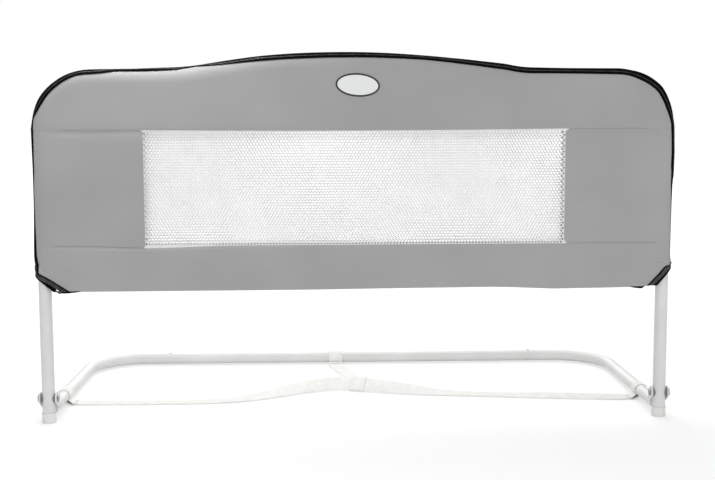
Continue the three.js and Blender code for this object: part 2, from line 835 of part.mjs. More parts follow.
// A coarse flat net with square gaps
function faceNet(face, middle) {
  const half = COVER.seamGap / 2;
  const left = half - NET_HALF_WIDTH;
  const bottom = NET_BOTTOM + half;
  const top = NET_TOP - half;
  const stepX = (-2 * left - 2 * NET.margin + NET.bar) / NET.columns;
  const stepZ = (top - bottom - 2 * NET.margin + NET.bar) / NET.rows;
  const near = middle - NET.thickness;
  const far = middle + NET.thickness;
  const gaps = [];
  for (let column = 0; column < NET.columns; column += 1) {
    for (let row = 0; row < NET.rows; row += 1) {
      const x = left + NET.margin + column * stepX;
      const z = bottom + NET.margin + row * stepZ;
      gaps.push(box(
        new THREE.Vector3(x, near, z),
        new THREE.Vector3(x + stepX - NET.bar, far, z + stepZ - NET.bar),
      ));
    }
  }
  const plate = box(
    new THREE.Vector3(left, middle - NET.thickness / 2, bottom),
    new THREE.Vector3(-left, middle + NET.thickness / 2, top),
  );
  add(guard, `cover_${face}_net`, cut(plate, ...gaps), whiteNet);
}

const CLOTH_MIDDLE = (CLOTH_IN + CLOTH_OUT) / 2;
faceCloths('front', -CLOTH_OUT, -CLOTH_IN);
faceNet('front', -CLOTH_MIDDLE);
faceCloths('back', CLOTH_IN, CLOTH_OUT);
faceNet('back', CLOTH_MIDDLE);

// The strip that closes the hem between the two leg mouths
const GUSSET_HALF = CLOTH_IN - COVER.seamGap;
const [hemLeft] = slantPoints(CORNER.left, CLOTH_OUT);
const [hemRight] = mirrored(slantPoints(CORNER.right, CLOTH_OUT)).slice(-1);
const hemStrip = rectangle(hemLeft.x, hemRight.x, HEM, HEM + COVER.cloth);
add(guard, 'cover_hem_strip', sheet(hemStrip, -GUSSET_HALF, GUSSET_HALF), greyCloth);

// The gusset runs over the tube from one leg mouth to the other
function gussetEdge(offset) {
  const left = [sideEdge(offset, CORNER.left), ...cornerPoints(offset)];
  const right = [sideEdge(offset, CORNER.right), ...cornerPoints(offset)];
  return [...left, ...humpPoints(offset), ...mirrored(right)];
}
add(guard, 'cover_gusset', edgeBand(gussetEdge, CLOTH_IN, CLOTH_OUT, -GUSSET_HALF, GUSSET_HALF), blackTape);

// Zip along the front edge: an inner tape, the coil, and an outer tape that turns over the edge
const FACE = -CLOTH_OUT - COVER.seamGap;
const TAPE_FRONT = FACE - ZIP.tapeThickness;
const EDGE_IN = CLOTH_OUT + COVER.seamGap;
const EDGE_OUT = EDGE_IN + ZIP.tapeThickness;
const EDGE_BACK = -TUBE.radius - COVER.seamGap;
const OUTER_TAPE_IN = EDGE_OUT - ZIP.outerTape;
const COIL_OUT = OUTER_TAPE_IN - ZIP.coilGap;
const COIL_IN = COIL_OUT - ZIP.coilWidth;
const INNER_TAPE_OUT = COIL_IN - ZIP.coilGap;
const INNER_TAPE_IN = INNER_TAPE_OUT - ZIP.innerTape;

const innerTape = edgeBand(coverEdge, INNER_TAPE_IN, INNER_TAPE_OUT, TAPE_FRONT, FACE);
const coil = edgeBand(coverEdge, COIL_IN, COIL_OUT, FACE - ZIP.coilThickness, FACE);
const outerTape = join(
  edgeBand(coverEdge, OUTER_TAPE_IN, EDGE_OUT, TAPE_FRONT, FACE),
  edgeBand(coverEdge, EDGE_IN, EDGE_OUT, TAPE_FRONT, EDGE_BACK),
);
add(guard, 'zip_inner_tape', innerTape, blackTape);
add(guard, 'zip_coil', coil, zipCoil);
add(guard, 'zip_outer_tape', outerTape, blackTape);

const backBinding = join(
  edgeBand(coverEdge, OUTER_TAPE_IN, EDGE_OUT, -FACE, -TAPE_FRONT),
  edgeBand(coverEdge, EDGE_IN, EDGE_OUT, -EDGE_BACK, -TAPE_FRONT),
);
add(guard, 'cover_back_binding', backBinding, blackTape);

// The slider parks on the left slant; its bridge carries no pull tab
const [slantHem, slantSide] = slantPoints(CORNER.left, (COIL_IN + COIL_OUT) / 2);
const slantDirection = new THREE.Vector2().subVectors(slantSide, slantHem);

function sliderGeometry() {
  const { sliderLength, sliderWidth, sliderThickness, noseShare } = ZIP;
  const { bridgeThickness, bridgeHeight, bridgeWidth } = ZIP;
  const back = FACE - ZIP.coilThickness - ZIP.sliderGap;
  const front = back - sliderThickness;
  const halfLength = sliderLength / 2;
  const halfWidth = sliderWidth / 2;
  const plate = sheet([
    new THREE.Vector2(-halfLength, -halfWidth * noseShare),
    new THREE.Vector2(halfLength, -halfWidth),
    new THREE.Vector2(halfLength, halfWidth),
    new THREE.Vector2(-halfLength, halfWidth * noseShare),
  ], front, back);
  const bridgeReach = halfLength * noseShare;
  const bridge = box(
    new THREE.Vector3(-bridgeReach, front - bridgeHeight, -bridgeWidth / 2),
    new THREE.Vector3(bridgeReach, front, bridgeWidth / 2),
  );
  const room = box(
    new THREE.Vector3(bridgeThickness - bridgeReach, front + bridgeThickness - bridgeHeight, -bridgeWidth),
    new THREE.Vector3(bridgeReach - bridgeThickness, front, bridgeWidth),
  );
  return join(plate, cut(bridge, room));
}

const slider = add(guard, 'zip_slider', sliderGeometry(), zincSteel);
const sliderRest = slantHem.clone().addScaledVector(slantDirection, ZIP.restShare);
slider.position.set(sliderRest.x, 0, sliderRest.y);
slider.rotation.y = -slantDirection.angle();

// Oval badge, sewn on a little askew and left bare, with a stitched border
const badgeCentre = new THREE.Vector2(BADGE.x, BADGE_HEIGHT);
const badgeOval = (inset) => oval(
  BADGE.x, BADGE_HEIGHT, BADGE.halfWidth - inset, BADGE.halfHeight - inset, BADGE.steps,
).map((point) => point.rotateAround(badgeCentre, -THREE.MathUtils.degToRad(BADGE.leanDegrees)));
const badgeBack = -CLOTH_OUT - BADGE.gap;
const badgeFront = badgeBack - BADGE.thickness;
const badgeHole = badgeOval(BADGE.border);
const badgeInside = badgeOval(BADGE.border + BADGE.gap);
add(guard, 'badge_border', sheet(badgeOval(0), badgeFront, badgeBack, [badgeHole]), badgeBorder);
add(guard, 'badge_face', sheet(badgeInside, badgeFront, badgeBack), badgeFace);

// The origin is on the floor below the middle of the part, with the strap left out
const frontmost = FACE - ZIP.coilThickness - ZIP.sliderGap - ZIP.sliderThickness - ZIP.bridgeHeight;
const rearmost = BASE.depth + TUBE.radius;
part.position.y = -(frontmost + rearmost) / 2;
part.add(guard);
part.add(base);

export default part;
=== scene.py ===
"""Looks of a folding bed guard rail: coated tubes, hinges, webbing strap and a zipped cloth cover.

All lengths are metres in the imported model's frame: X to the right along the guard, Y towards the
bed, Z up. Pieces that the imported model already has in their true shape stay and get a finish.
"""

import logging
import math
from contextlib import contextmanager
from dataclasses import dataclass, field
from enum import Enum
from typing import Any, Callable, ClassVar, Iterator, Sequence

import bmesh
import bpy
import numpy as np
from mathutils import Matrix, Vector


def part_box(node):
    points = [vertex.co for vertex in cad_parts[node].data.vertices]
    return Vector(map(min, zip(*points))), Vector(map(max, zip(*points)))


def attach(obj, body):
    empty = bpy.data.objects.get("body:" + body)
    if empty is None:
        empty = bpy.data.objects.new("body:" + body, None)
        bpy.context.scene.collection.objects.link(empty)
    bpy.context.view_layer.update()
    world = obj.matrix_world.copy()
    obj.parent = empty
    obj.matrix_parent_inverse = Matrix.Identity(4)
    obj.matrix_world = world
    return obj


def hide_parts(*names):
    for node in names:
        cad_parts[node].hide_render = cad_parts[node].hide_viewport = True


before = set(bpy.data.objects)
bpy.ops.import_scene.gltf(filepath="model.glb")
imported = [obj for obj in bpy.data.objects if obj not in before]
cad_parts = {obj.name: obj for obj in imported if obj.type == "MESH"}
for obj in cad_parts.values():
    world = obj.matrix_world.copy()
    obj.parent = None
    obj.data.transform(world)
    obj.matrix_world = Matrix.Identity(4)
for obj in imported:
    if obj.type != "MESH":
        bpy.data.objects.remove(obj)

LOG = logging.getLogger("bed_guard")
MM = 0.001
Piece = bpy.types.Object
Socket = bpy.types.NodeSocket
Tree = bpy.types.NodeTree
Along = Callable[[float], float]


class Body(Enum):
    """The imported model's bodies that new pieces ride on."""

    GUARD = "guard"
    BASE = "base"
    SLIDER = "zip_slider"


class Named(Enum):
    """An option that piece names spell in small letters."""

    @property
    def word(self) -> str:
        """The option's name as piece names spell it."""
        return self.name.lower()


class Side(Named):
    """The two ends of the guard, by the sign of their X."""

    LEFT = -1
    RIGHT = 1


class Face(Named):
    """The cover's two faces, by the sign of their Y."""

    FRONT = -1
    BACK = 1


class Stretch(Enum):
    """The stretches of the cover's edge, from the hem up to the middle of the hump.

    Each has its place in the order and the number of steps that draw it.
    """

    SLANT = (0, 20)
    FILLET = (1, 9)
    SIDE_LOW = (2, 10)
    SIDE_MID = (3, 24)
    SIDE_TOP = (4, 1)
    CORNER = (5, 30)
    SHOULDER = (6, 14)
    EASE = (7, 6)
    HUMP = (8, 34)

    @property
    def steps(self) -> int:
        """The number of steps that draw the stretch."""
        return self.value[1]


@dataclass(frozen=True)
class Plan:
    """Sizes that several sub-assemblies share."""

    plane: float = -195.95 * MM
    half: float = 462.5 * MM
    top: float = 515 * MM
    corner: float = 75 * MM
    hump_rise: float = 23 * MM
    hump_half: float = 262 * MM
    hump_ease_share: float = 0.12
    net_top: float = 438 * MM
    net_bottom: float = 268 * MM
    net_half: float = 311 * MM
    hem: float = 200 * MM
    fillet: float = 8 * MM
    cloth_reach: float = 11.7 * MM
    tube: float = 9.5 * MM
    wall: float = 1.2 * MM
    left_slant: tuple[float, float] = (34 * MM, 25 * MM)
    right_slant: tuple[float, float] = (24 * MM, 31 * MM)
    arm_height: float = 16.8 * MM
    base_depth: float = 400 * MM
    bar_height: float = 11.2 * MM
    bend: float = 95 * MM
    base_joint: float = 350 * MM
    rail_joint: float = 300 * MM
    pivot: float = 37 * MM

    @property
    def tilt(self) -> float:
        """Angle by which the base's arms run down towards the crossbar."""
        return math.asin((self.arm_height - self.bar_height) / self.base_depth)

    @property
    def arm_length(self) -> float:
        """Length of an arm from the guard's plane to the crossbar's axis."""
        return self.base_depth / math.cos(self.tilt)

    @property
    def base_frame(self) -> Matrix:
        """Places the base, drawn flat with its arms along Y, in the model's frame."""
        return Matrix.Translation((0, self.plane, self.arm_height)) @ Matrix.Rotation(-self.tilt, 4, "X")


# Bench: the few steps that every piece goes through


def deselect_all() -> None:
    """Leaves nothing selected, so that an operator acts only on what is picked next."""
    if bpy.context.object and bpy.context.object.mode != "OBJECT":
        bpy.ops.object.mode_set(mode="OBJECT")
    bpy.ops.object.select_all(action="DESELECT")


def pick(piece: Piece) -> Piece:
    """Selects one piece and makes it the active one.

    Args:
        piece: The piece that the next operators work on.

    Returns:
        The same piece.
    """
    deselect_all()
    piece.select_set(True)
    bpy.context.view_layer.objects.active = piece
    return piece


@contextmanager
def edit_mode(piece: Piece, kind: str = "VERT") -> Iterator[None]:
    """Opens a piece for editing and closes it again.

    Args:
        piece: The piece to edit.
        kind: What is picked there: VERT, EDGE or FACE.
    """
    pick(piece)
    bpy.ops.object.mode_set(mode="EDIT")
    bpy.ops.mesh.select_mode(type=kind)
    yield
    bpy.ops.object.mode_set(mode="OBJECT")


def pick_verts(piece: Piece, test: Callable[[Vector], bool]) -> None:
    """Selects the vertices of the open piece that pass a test on their place.

    Args:
        piece: The piece in edit mode.
        test: Takes a vertex's place and says whether it is wanted.
    """
    shape = bmesh.from_edit_mesh(piece.data)
    for vert in shape.verts:
        vert.select = test(piece.matrix_world @ vert.co)
    shape.select_flush(True)
    shape.select_flush(False)
    bmesh.update_edit_mesh(piece.data)


def pick_faces(piece: Piece, test: Callable[[Vector, Vector], bool]) -> None:
    """Selects the faces of the open piece that pass a test on their middle and normal.

    Args:
        piece: The piece in edit mode.
        test: Takes a face's middle and normal and says whether it is wanted.
    """
    shape = bmesh.from_edit_mesh(piece.data)
    turn = piece.matrix_world.to_3x3()
    for face in shape.faces:
        face.select = test(piece.matrix_world @ face.calc_center_median(), turn @ face.normal)
    bmesh.update_edit_mesh(piece.data)


def modify(piece: Piece, kind: str, **settings: Any) -> Piece:
    """Adds one modifier and applies it.

    Args:
        piece: The piece to change.
        kind: The modifier's type.
        **settings: The modifier's settings.

    Returns:
        The same piece.
    """
    pick(piece)
    modifier = piece.modifiers.new(kind.title(), kind)
    for key, value in settings.items():
        setattr(modifier, key, value)
    bpy.ops.object.modifier_apply(modifier=modifier.name)
    return piece


def drill(piece: Piece, start: Vector, end: Vector, radius: float, sides: int = 32) -> Piece:
    """Cuts a round hole through a piece.

    Args:
        piece: The piece to drill.
        start: One end of the drill's axis.
        end: The other end.
        radius: The hole's radius.
        sides: The number of flats round the hole.

    Returns:
        The same piece.
    """
    cutter = cylinder("drill", start, end, radius, sides)
    modify(piece, "BOOLEAN", object=cutter, operation="DIFFERENCE", solver="EXACT")
    bpy.data.objects.remove(cutter)
    return piece


def ease(piece: Piece, width: float, segments: int = 2, degrees: float = 50) -> Piece:
    """Rounds a piece's sharp edges.

    Args:
        piece: The piece to round.
        width: The rounding's width.
        segments: The number of flats across it.
        degrees: Edges sharper than this are rounded.

    Returns:
        The same piece.
    """
    sharp = math.radians(degrees)
    return modify(piece, "BEVEL", width=width, segments=segments, limit_method="ANGLE", angle_limit=sharp)


def cylinder(name: str, start: Vector, end: Vector, radius: float, sides: int = 48) -> Piece:
    """Adds a round bar between two points, with its place in its mesh.

    Args:
        name: The piece's name.
        start: The middle of its first end.
        end: The middle of its second end.
        radius: Its radius.
        sides: The number of flats round it.

    Returns:
        The new piece.
    """
    along = end - start
    deselect_all()
    bpy.ops.mesh.primitive_cylinder_add(vertices=sides, radius=radius, depth=along.length)
    bar = bpy.context.object
    bar.name = name
    turn = along.to_track_quat("Z", "Y").to_matrix().to_4x4()
    bar.matrix_world = Matrix.Translation((start + end) / 2) @ turn
    return settle(bar)


def block(name: str, size: tuple[float, float, float], centre: Sequence[float] = (0, 0, 0)) -> Piece:
    """Adds a square bar, with its place in its mesh.

    Args:
        name: The piece's name.
        size: Its size along X, Y and Z.
        centre: Its middle.

    Returns:
        The new piece.
    """
    deselect_all()
    bpy.ops.mesh.primitive_cube_add(size=1, location=centre)
    bar = bpy.context.object
    bar.name = name
    bar.scale = size
    return settle(bar)


def settle(piece: Piece) -> Piece:
    """Moves a piece's place and turn into its mesh, so that its object sits at the origin.

    Args:
        piece: The piece to settle.

    Returns:
        The same piece.
    """
    pick(piece)
    bpy.ops.object.transform_apply(location=True, rotation=True, scale=True)
    return piece


def merged(piece: Piece) -> Piece:
    """Merges a piece's doubles and turns its faces out.

    Args:
        piece: The piece to close.

    Returns:
        The same piece.
    """
    with edit_mode(piece):
        bpy.ops.mesh.select_all(action="SELECT")
        bpy.ops.mesh.remove_doubles(threshold=0.01 * MM)
        bpy.ops.mesh.normals_make_consistent(inside=False)
    return piece


def outward(piece: Piece, smooth_degrees: float = 35) -> Piece:
    """Closes a piece, turns its faces out and smooths all but its sharp edges.

    Args:
        piece: The piece to finish.
        smooth_degrees: Edges sharper than this stay sharp.

    Returns:
        The same piece.
    """
    merged(piece)
    bpy.ops.object.shade_smooth_by_angle(angle=math.radians(smooth_degrees))
    return piece


def joined(name: str, pieces: Sequence[Piece]) -> Piece:
    """Joins pieces into one object.

    Args:
        name: The joined piece's name.
        pieces: The pieces to join.

    Returns:
        The joined piece.
    """
    deselect_all()
    for piece in pieces:
        piece.select_set(True)
    bpy.context.view_layer.objects.active = pieces[0]
    bpy.ops.object.join()
    pieces[0].name = name
    pieces[0].data.name = name
    return pieces[0]


def from_faces(name: str, points: Sequence[Sequence[float]], faces: Sequence[Sequence[int]]) -> Piece:
    """Makes a piece from points and faces.

    Args:
        name: The piece's name.
        points: Its points.
        faces: For each face, the places of its corners among the points.

    Returns:
        The new piece.
    """
    mesh = bpy.data.meshes.new(name)
    mesh.from_pydata([tuple(map(float, point)) for point in points], [], [tuple(face) for face in faces])
    mesh.update()
    piece = bpy.data.objects.new(name, mesh)
    bpy.context.scene.collection.objects.link(piece)
    return piece


def skin(rows: int, columns: int, closed: bool, capped: bool = False, first: int = 0) -> list[tuple[int, ...]]:
    """The faces between neighbouring rows of points.

    Args:
        rows: The number of rows.
        columns: The number of points in each.
        closed: Whether each row is a closed ring.
        capped: Whether the two end rows are faces too.
        first: The place of the first point.

    Returns:
        For each face, the places of its corners among the points.
    """
    faces = []
    last = first + (rows - 1) * columns
    for here in range(first, last, columns):
        for a in range(columns if closed else columns - 1):
            b = (a + 1) % columns
            faces.append((here + a, here + b, here + columns + b, here + columns + a))
    if capped:
        faces.append(tuple(reversed(range(first, first + columns))))
        faces.append(tuple(range(last, last + columns)))
    return faces


def from_grid(
    name: str, grid: np.ndarray, closed: bool = False, uv: np.ndarray | None = None, capped: bool = True
) -> Piece:
    """Makes a sheet, or a swept body, from rows of points.

    Args:
        name: The piece's name.
        grid: Points by row and column.
        closed: Whether each row is a closed ring.
        uv: For each point its place on the cloth in metres, by row and column.
        capped: Whether closed end rows become faces.

    Returns:
        The new piece.
    """
    piece = from_faces(name, grid.reshape(-1, 3), skin(*grid.shape[:2], closed, closed and capped))
    if uv is not None:
        layer = piece.data.uv_layers.new(name="Cloth")
        flat = uv.reshape(-1, 2)
        for loop in piece.data.loops:
            layer.data[loop.index].uv = flat[loop.vertex_index]
    return piece


def swept(
    name: str, line: Sequence[Vector], axes: Sequence[tuple[Vector, Vector]], section: np.ndarray
) -> Piece:
    """Sweeps a band's section along a line.

    Args:
        name: The piece's name.
        line: The band's middle line.
        axes: At each of its points, the ways across the band and out of it.
        section: Points round the section, as rows of across and out.

    Returns:
        The swept piece, with a map along and across the band.
    """
    rows, uvs, run = [], [], 0.0
    for i, (centre, (across, out)) in enumerate(zip(line, axes)):
        run += (centre - line[i - 1]).length if i else 0.0
        rows.append([tuple(centre + across * u + out * v) for u, v in section])
        uvs.append([(run, u) for u, _ in section])
    return outward(from_grid(name, np.array(rows), True, np.array(uvs)), 40)


def sheet(name: str, grid: np.ndarray, thickness: float, uv: np.ndarray | None = None) -> Piece:
    """Makes a sheet of cloth of an even thickness round its middle surface.

    Args:
        name: The sheet's name.
        grid: Points of its middle surface, by row and column.
        thickness: The cloth's thickness.
        uv: For each point its place on the cloth in metres.

    Returns:
        The finished sheet.
    """
    piece = merged(from_grid(name, grid, uv=uv))
    modify(piece, "SOLIDIFY", thickness=thickness, offset=0.0, use_even_offset=False)
    return outward(piece, 50)


def install(piece: Piece, body: Body, finish: "Finish", stands_for: Sequence[str] = ()) -> Piece:
    """Gives a finished piece its surface, its body and the nodes that it stands for.

    Args:
        piece: The finished piece.
        body: The body that it rides on.
        finish: Its surface.
        stands_for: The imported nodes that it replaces.

    Returns:
        The same piece.
    """
    finish.wear(piece)
    piece.data.name = piece.name
    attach(piece, body.value)
    if stands_for:
        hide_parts(*stands_for)
    LOG.info("%s rides on %s in %s", piece.name, body.value, finish.slot)
    return piece


def keep(node: str, finish: "Finish") -> Piece:
    """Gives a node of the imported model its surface.

    Args:
        node: The node's name.
        finish: Its surface.

    Returns:
        The node's object.
    """
    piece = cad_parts[node]
    finish.wear(piece)
    return piece


# Finishes


def linear(code: int) -> tuple[float, float, float, float]:
    """Turns an sRGB hex colour into the linear colour that shaders take.

    Args:
        code: The colour as 0xRRGGBB.

    Returns:
        Linear red, green, blue and an opaque alpha.
    """
    parts = [((code >> shift) & 255) / 255 for shift in (16, 8, 0)]
    red, green, blue = [p / 12.92 if p <= 0.04045 else ((p + 0.055) / 1.055) ** 2.4 for p in parts]
    return red, green, blue, 1.0


def put(tree: Tree, kind: str, feeds: dict[Any, Any] | None = None, **settings: Any) -> bpy.types.Node:
    """Adds one node, sets it and links it.

    Args:
        tree: The node tree.
        kind: The node's type.
        feeds: By input, the value or the output socket that feeds it.
        **settings: The node's settings.

    Returns:
        The new node.
    """
    made = tree.nodes.new(kind)
    for key, value in settings.items():
        setattr(made, key, value)
    for key, value in (feeds or {}).items():
        if isinstance(value, bpy.types.NodeSocket):
            tree.links.new(value, made.inputs[key])
        else:
            made.inputs[key].default_value = value
    return made


def noise(tree: Tree, place: Socket, size: float, detail: float = 2.0) -> Socket:
    """A value that drifts from patch to patch.

    Args:
        tree: The node tree.
        place: The coordinates that it follows.
        size: The size of a patch in those coordinates.
        detail: How many finer octaves the patches have.

    Returns:
        The value, about 0.5.
    """
    feeds = {"Vector": place, "Scale": 1 / size, "Detail": detail}
    return put(tree, "ShaderNodeTexNoise", feeds).outputs["Fac"]


def stretched(tree: Tree, place: Socket, scale: tuple[float, float, float]) -> Socket:
    """Coordinates in other units along each axis.

    Args:
        tree: The node tree.
        place: The coordinates.
        scale: How many of the new units a metre has, along X, Y and Z.

    Returns:
        The new coordinates.
    """
    return put(tree, "ShaderNodeMapping", {"Vector": place, "Scale": scale}).outputs["Vector"]


def ranged(tree: Tree, value: Socket, low: float, high: float, start: float = 0.0, end: float = 1.0) -> Socket:
    """A value taken from one range to another and held within it.

    Args:
        tree: The node tree.
        value: The value.
        low: What it becomes at the start.
        high: What it becomes at the end.
        start: The start of its own range.
        end: The end of its own range.

    Returns:
        The new value.
    """
    feeds = {"Value": value, "From Min": start, "From Max": end, "To Min": low, "To Max": high}
    return put(tree, "ShaderNodeMapRange", feeds).outputs["Result"]


def computed(tree: Tree, operation: str, first: Socket, second: Socket) -> Socket:
    """A value computed from two others.

    Args:
        tree: The node tree.
        operation: The Math node's operation.
        first: The first value.
        second: The second value.

    Returns:
        The result.
    """
    return put(tree, "ShaderNodeMath", {0: first, 1: second}, operation=operation).outputs["Value"]


def blended(tree: Tree, share: Socket, dark: Any, light: Any) -> Socket:
    """A colour between two.

    Args:
        tree: The node tree.
        share: The share of the second.
        dark: The first colour, or its socket.
        light: The second.

    Returns:
        The colour.
    """
    return put(tree, "ShaderNodeMix", {0: share, 6: dark, 7: light}, data_type="RGBA").outputs[2]


def glossy(tree: Tree, feeds: dict[str, Any]) -> Socket:
    """The finished shader of a surface, from what feeds its inputs."""
    return put(tree, "ShaderNodeBsdfPrincipled", feeds).outputs["BSDF"]


def new_tree(holder: bpy.types.Material | bpy.types.World) -> Tree:
    """Clears the nodes of a material or a world and gives its tree.

    Args:
        holder: The material or the world.

    Returns:
        Its node tree, empty.
    """
    holder.use_nodes = True
    holder.node_tree.nodes.clear()
    return holder.node_tree


@dataclass(frozen=True)
class Finish:
    """A surface: what it is made of and how it was made. Each kind paints its own nodes."""

    slot: str
    name: str
    dark: int
    light: int

    def wear(self, piece: Piece) -> None:
        """Puts this surface on a piece, in its material slot.

        Args:
            piece: The piece.
        """
        if not piece.material_slots:
            piece.data.materials.append(None)
        piece.material_slots[0].material = self.material()

    def material(self) -> bpy.types.Material:
        """Builds the surface's material the first time it is asked for.

        Returns:
            The material.
        """
        made = bpy.data.materials.get(self.name)
        if not made:
            made = bpy.data.materials.new(self.name)
            tree = new_tree(made)
            put(tree, "ShaderNodeOutputMaterial", {"Surface": self.paint(tree)})
        return made

    def paint(self, tree: Tree) -> Socket:
        """Builds the nodes and gives back the finished shader's output."""
        raise NotImplementedError

    def tone(self, tree: Tree, place: Socket, size: float, detail: float = 2.0) -> Socket:
        """A colour that drifts between the surface's two tones.

        Args:
            tree: The node tree.
            place: The coordinates that it follows.
            size: Size of a patch, in metres.
            detail: How many finer octaves the patches have.

        Returns:
            The colour.
        """
        spread = ranged(tree, noise(tree, place, size, detail), 0.0, 1.0, 0.3, 0.7)
        return blended(tree, spread, linear(self.dark), linear(self.light))

    @staticmethod
    def place(tree: Tree) -> Socket:
        """Object coordinates, in metres in the model's frame."""
        return put(tree, "ShaderNodeTexCoord").outputs["Object"]

    @staticmethod
    def bump(
        tree: Tree, height: Socket, depth: float, strength: float, under: Socket | None = None
    ) -> Socket:
        """A normal from a height.

        Args:
            tree: The node tree.
            height: The height, from 0 to 1.
            depth: The height's real size in metres.
            strength: The share of it that shows.
            under: A normal that this one lies on.

        Returns:
            The normal.
        """
        feeds = {"Height": height, "Distance": depth, "Strength": strength}
        if under is not None:
            feeds["Normal"] = under
        return put(tree, "ShaderNodeBump", feeds).outputs["Normal"]

    @staticmethod
    def threads(tree: Tree, place: Socket, axis: str, pitch: float) -> Socket:
        """Rounded ridges side by side, as threads or ribs lie.

        Args:
            tree: The node tree.
            place: The coordinates, in metres.
            axis: The axis across the ridges.
            pitch: Their spacing in metres.

        Returns:
            The height, from 0 to 1.
        """
        # A wave texture repeats every 2 pi / 20 of its scaled coordinate
        feeds = {"Vector": place, "Scale": math.pi / (10 * pitch), "Distortion": 0.0}
        look = {"wave_type": "BANDS", "bands_direction": axis, "wave_profile": "SIN"}
        return put(tree, "ShaderNodeTexWave", feeds, **look).outputs["Fac"]


@dataclass(frozen=True)
class Grained(Finish):
    """A solid surface: slow drifts of tone, and a grain that breaks up its gloss."""

    roughness: float
    glossier: float = 0.0
    duller: float = 0.0
    patch: float = 9 * MM
    grain: float = 0.7 * MM
    detail: float = 2.0
    depth: float = 0.04 * MM
    strength: float = 0.5
    metallic: float = 0.0
    bending: float = 1.5

    def paint(self, tree: Tree) -> Socket:
        """Tone, gloss and grain on Object coordinates.

        Args:
            tree: The node tree.

        Returns:
            The finished shader's output.
        """
        place = self.place(tree)
        grain = noise(tree, place, self.grain, self.detail)
        roughness = self.roughness
        if self.glossier or self.duller:
            roughness = ranged(tree, grain, self.roughness - self.glossier, self.roughness + self.duller)
        feeds = {
            "Base Color": self.tone(tree, place, self.patch),
            "Metallic": self.metallic,
            "Roughness": roughness,
            "Normal": self.bump(tree, grain, self.depth, self.strength),
            "IOR": self.bending,
        }
        return glossy(tree, feeds)


@dataclass(frozen=True)
class PowderCoat(Grained):
    """Semi-gloss white powder coat on steel tube, sprayed and baked, with a fine orange peel."""

    slot: str = "white_paint"
    name: str = "powder_coat_white"
    dark: int = 0xD2D2D1
    light: int = 0xDADAD9
    roughness: float = 0.36
    duller: float = 0.1
    patch: float = 60 * MM
    grain: float = 1.6 * MM
    detail: float = 3.0
    depth: float = 0.03 * MM
    strength: float = 0.4


@dataclass(frozen=True)
class MouldedPlastic(Grained):
    """Injection-moulded plastic: a soft sheen, flow marks and the fine spark grain of its mould."""

    slot: str = "white_plastic"
    name: str = "polypropylene_white"
    dark: int = 0xDBDBD8
    light: int = 0xE2E2E0
    roughness: float = 0.5
    bending: float = 1.49


@dataclass(frozen=True)
class PlatedSteel(Grained):
    """Steel, zinc-plated or plain: its brightness and gloss vary from crystal to crystal."""

    slot: str = "zinc_steel"
    name: str = "zinc_plated_steel"
    dark: int = 0x84868A
    light: int = 0xA2A4A7
    roughness: float = 0.36
    glossier: float = 0.06
    duller: float = 0.1
    patch: float = 2.5 * MM
    grain: float = 1.2 * MM
    detail: float = 3.0
    depth: float = 0.02 * MM
    strength: float = 0.4
    metallic: float = 1.0


@dataclass(frozen=True)
class WovenPolyester(Finish):
    """Plain-woven polyester cloth: matt, taut, a fine over-and-under of equal threads."""

    slot: str = "grey_cloth"
    name: str = "woven_polyester_grey"
    dark: int = 0xA0A0A0
    light: int = 0xA5A5A5
    # The real threads are 0.3 mm apart; 1.5 mm is the finest that still shows
    thread: float = 1.5 * MM

    def paint(self, tree: Tree) -> Socket:
        """Two sets of threads, slubs along them, and slow waves where the cloth is less taut.

        Args:
            tree: The node tree.

        Returns:
            The finished shader's output.
        """
        place = self.place(tree)
        across, along = (self.threads(tree, place, axis, self.thread) for axis in "XZ")
        slub = noise(tree, stretched(tree, place, (60, 60, 400)), 1.0)
        slack = noise(tree, stretched(tree, place, (6, 6, 22)), 1.0)
        soft = self.bump(tree, slack, 1.2 * MM, 0.5)
        uneven = self.bump(tree, slub, 0.05 * MM, 0.5, soft)
        feeds = {
            "Base Color": self.tone(tree, place, 90 * MM, 1.0),
            "Roughness": 0.92,
            "IOR": 1.45,
            "Specular IOR Level": 0.25,
            "Sheen Weight": 0.08,
            "Sheen Roughness": 0.5,
            "Normal": self.bump(tree, computed(tree, "MULTIPLY", across, along), 0.08 * MM, 0.5, uneven),
        }
        return glossy(tree, feeds)


@dataclass(frozen=True)
class KnittedNet(Finish):
    """Warp-knitted polyester net: white yarn, soft and matt, through which some light passes."""

    slot: str = "white_net"
    name: str = "knitted_net_white"
    dark: int = 0xF0F0F0
    light: int = 0xF8F8F8
    passing: float = 0.3

    def paint(self, tree: Tree) -> Socket:
        """White yarn with its twist, a little uneven in tone.

        Args:
            tree: The node tree.

        Returns:
            The finished shader's output.
        """
        place = self.place(tree)
        tone = self.tone(tree, place, 30 * MM, 3.0)
        feeds = {
            "Base Color": tone,
            "Roughness": 0.85,
            "Specular IOR Level": 0.3,
            "Normal": self.bump(tree, noise(tree, place, 0.9 * MM), 0.12 * MM, 0.6),
        }
        through = put(tree, "ShaderNodeBsdfTranslucent", {"Color": tone}).outputs["BSDF"]
        both = {0: self.passing, 1: glossy(tree, feeds), 2: through}
        return put(tree, "ShaderNodeMixShader", both).outputs["Shader"]


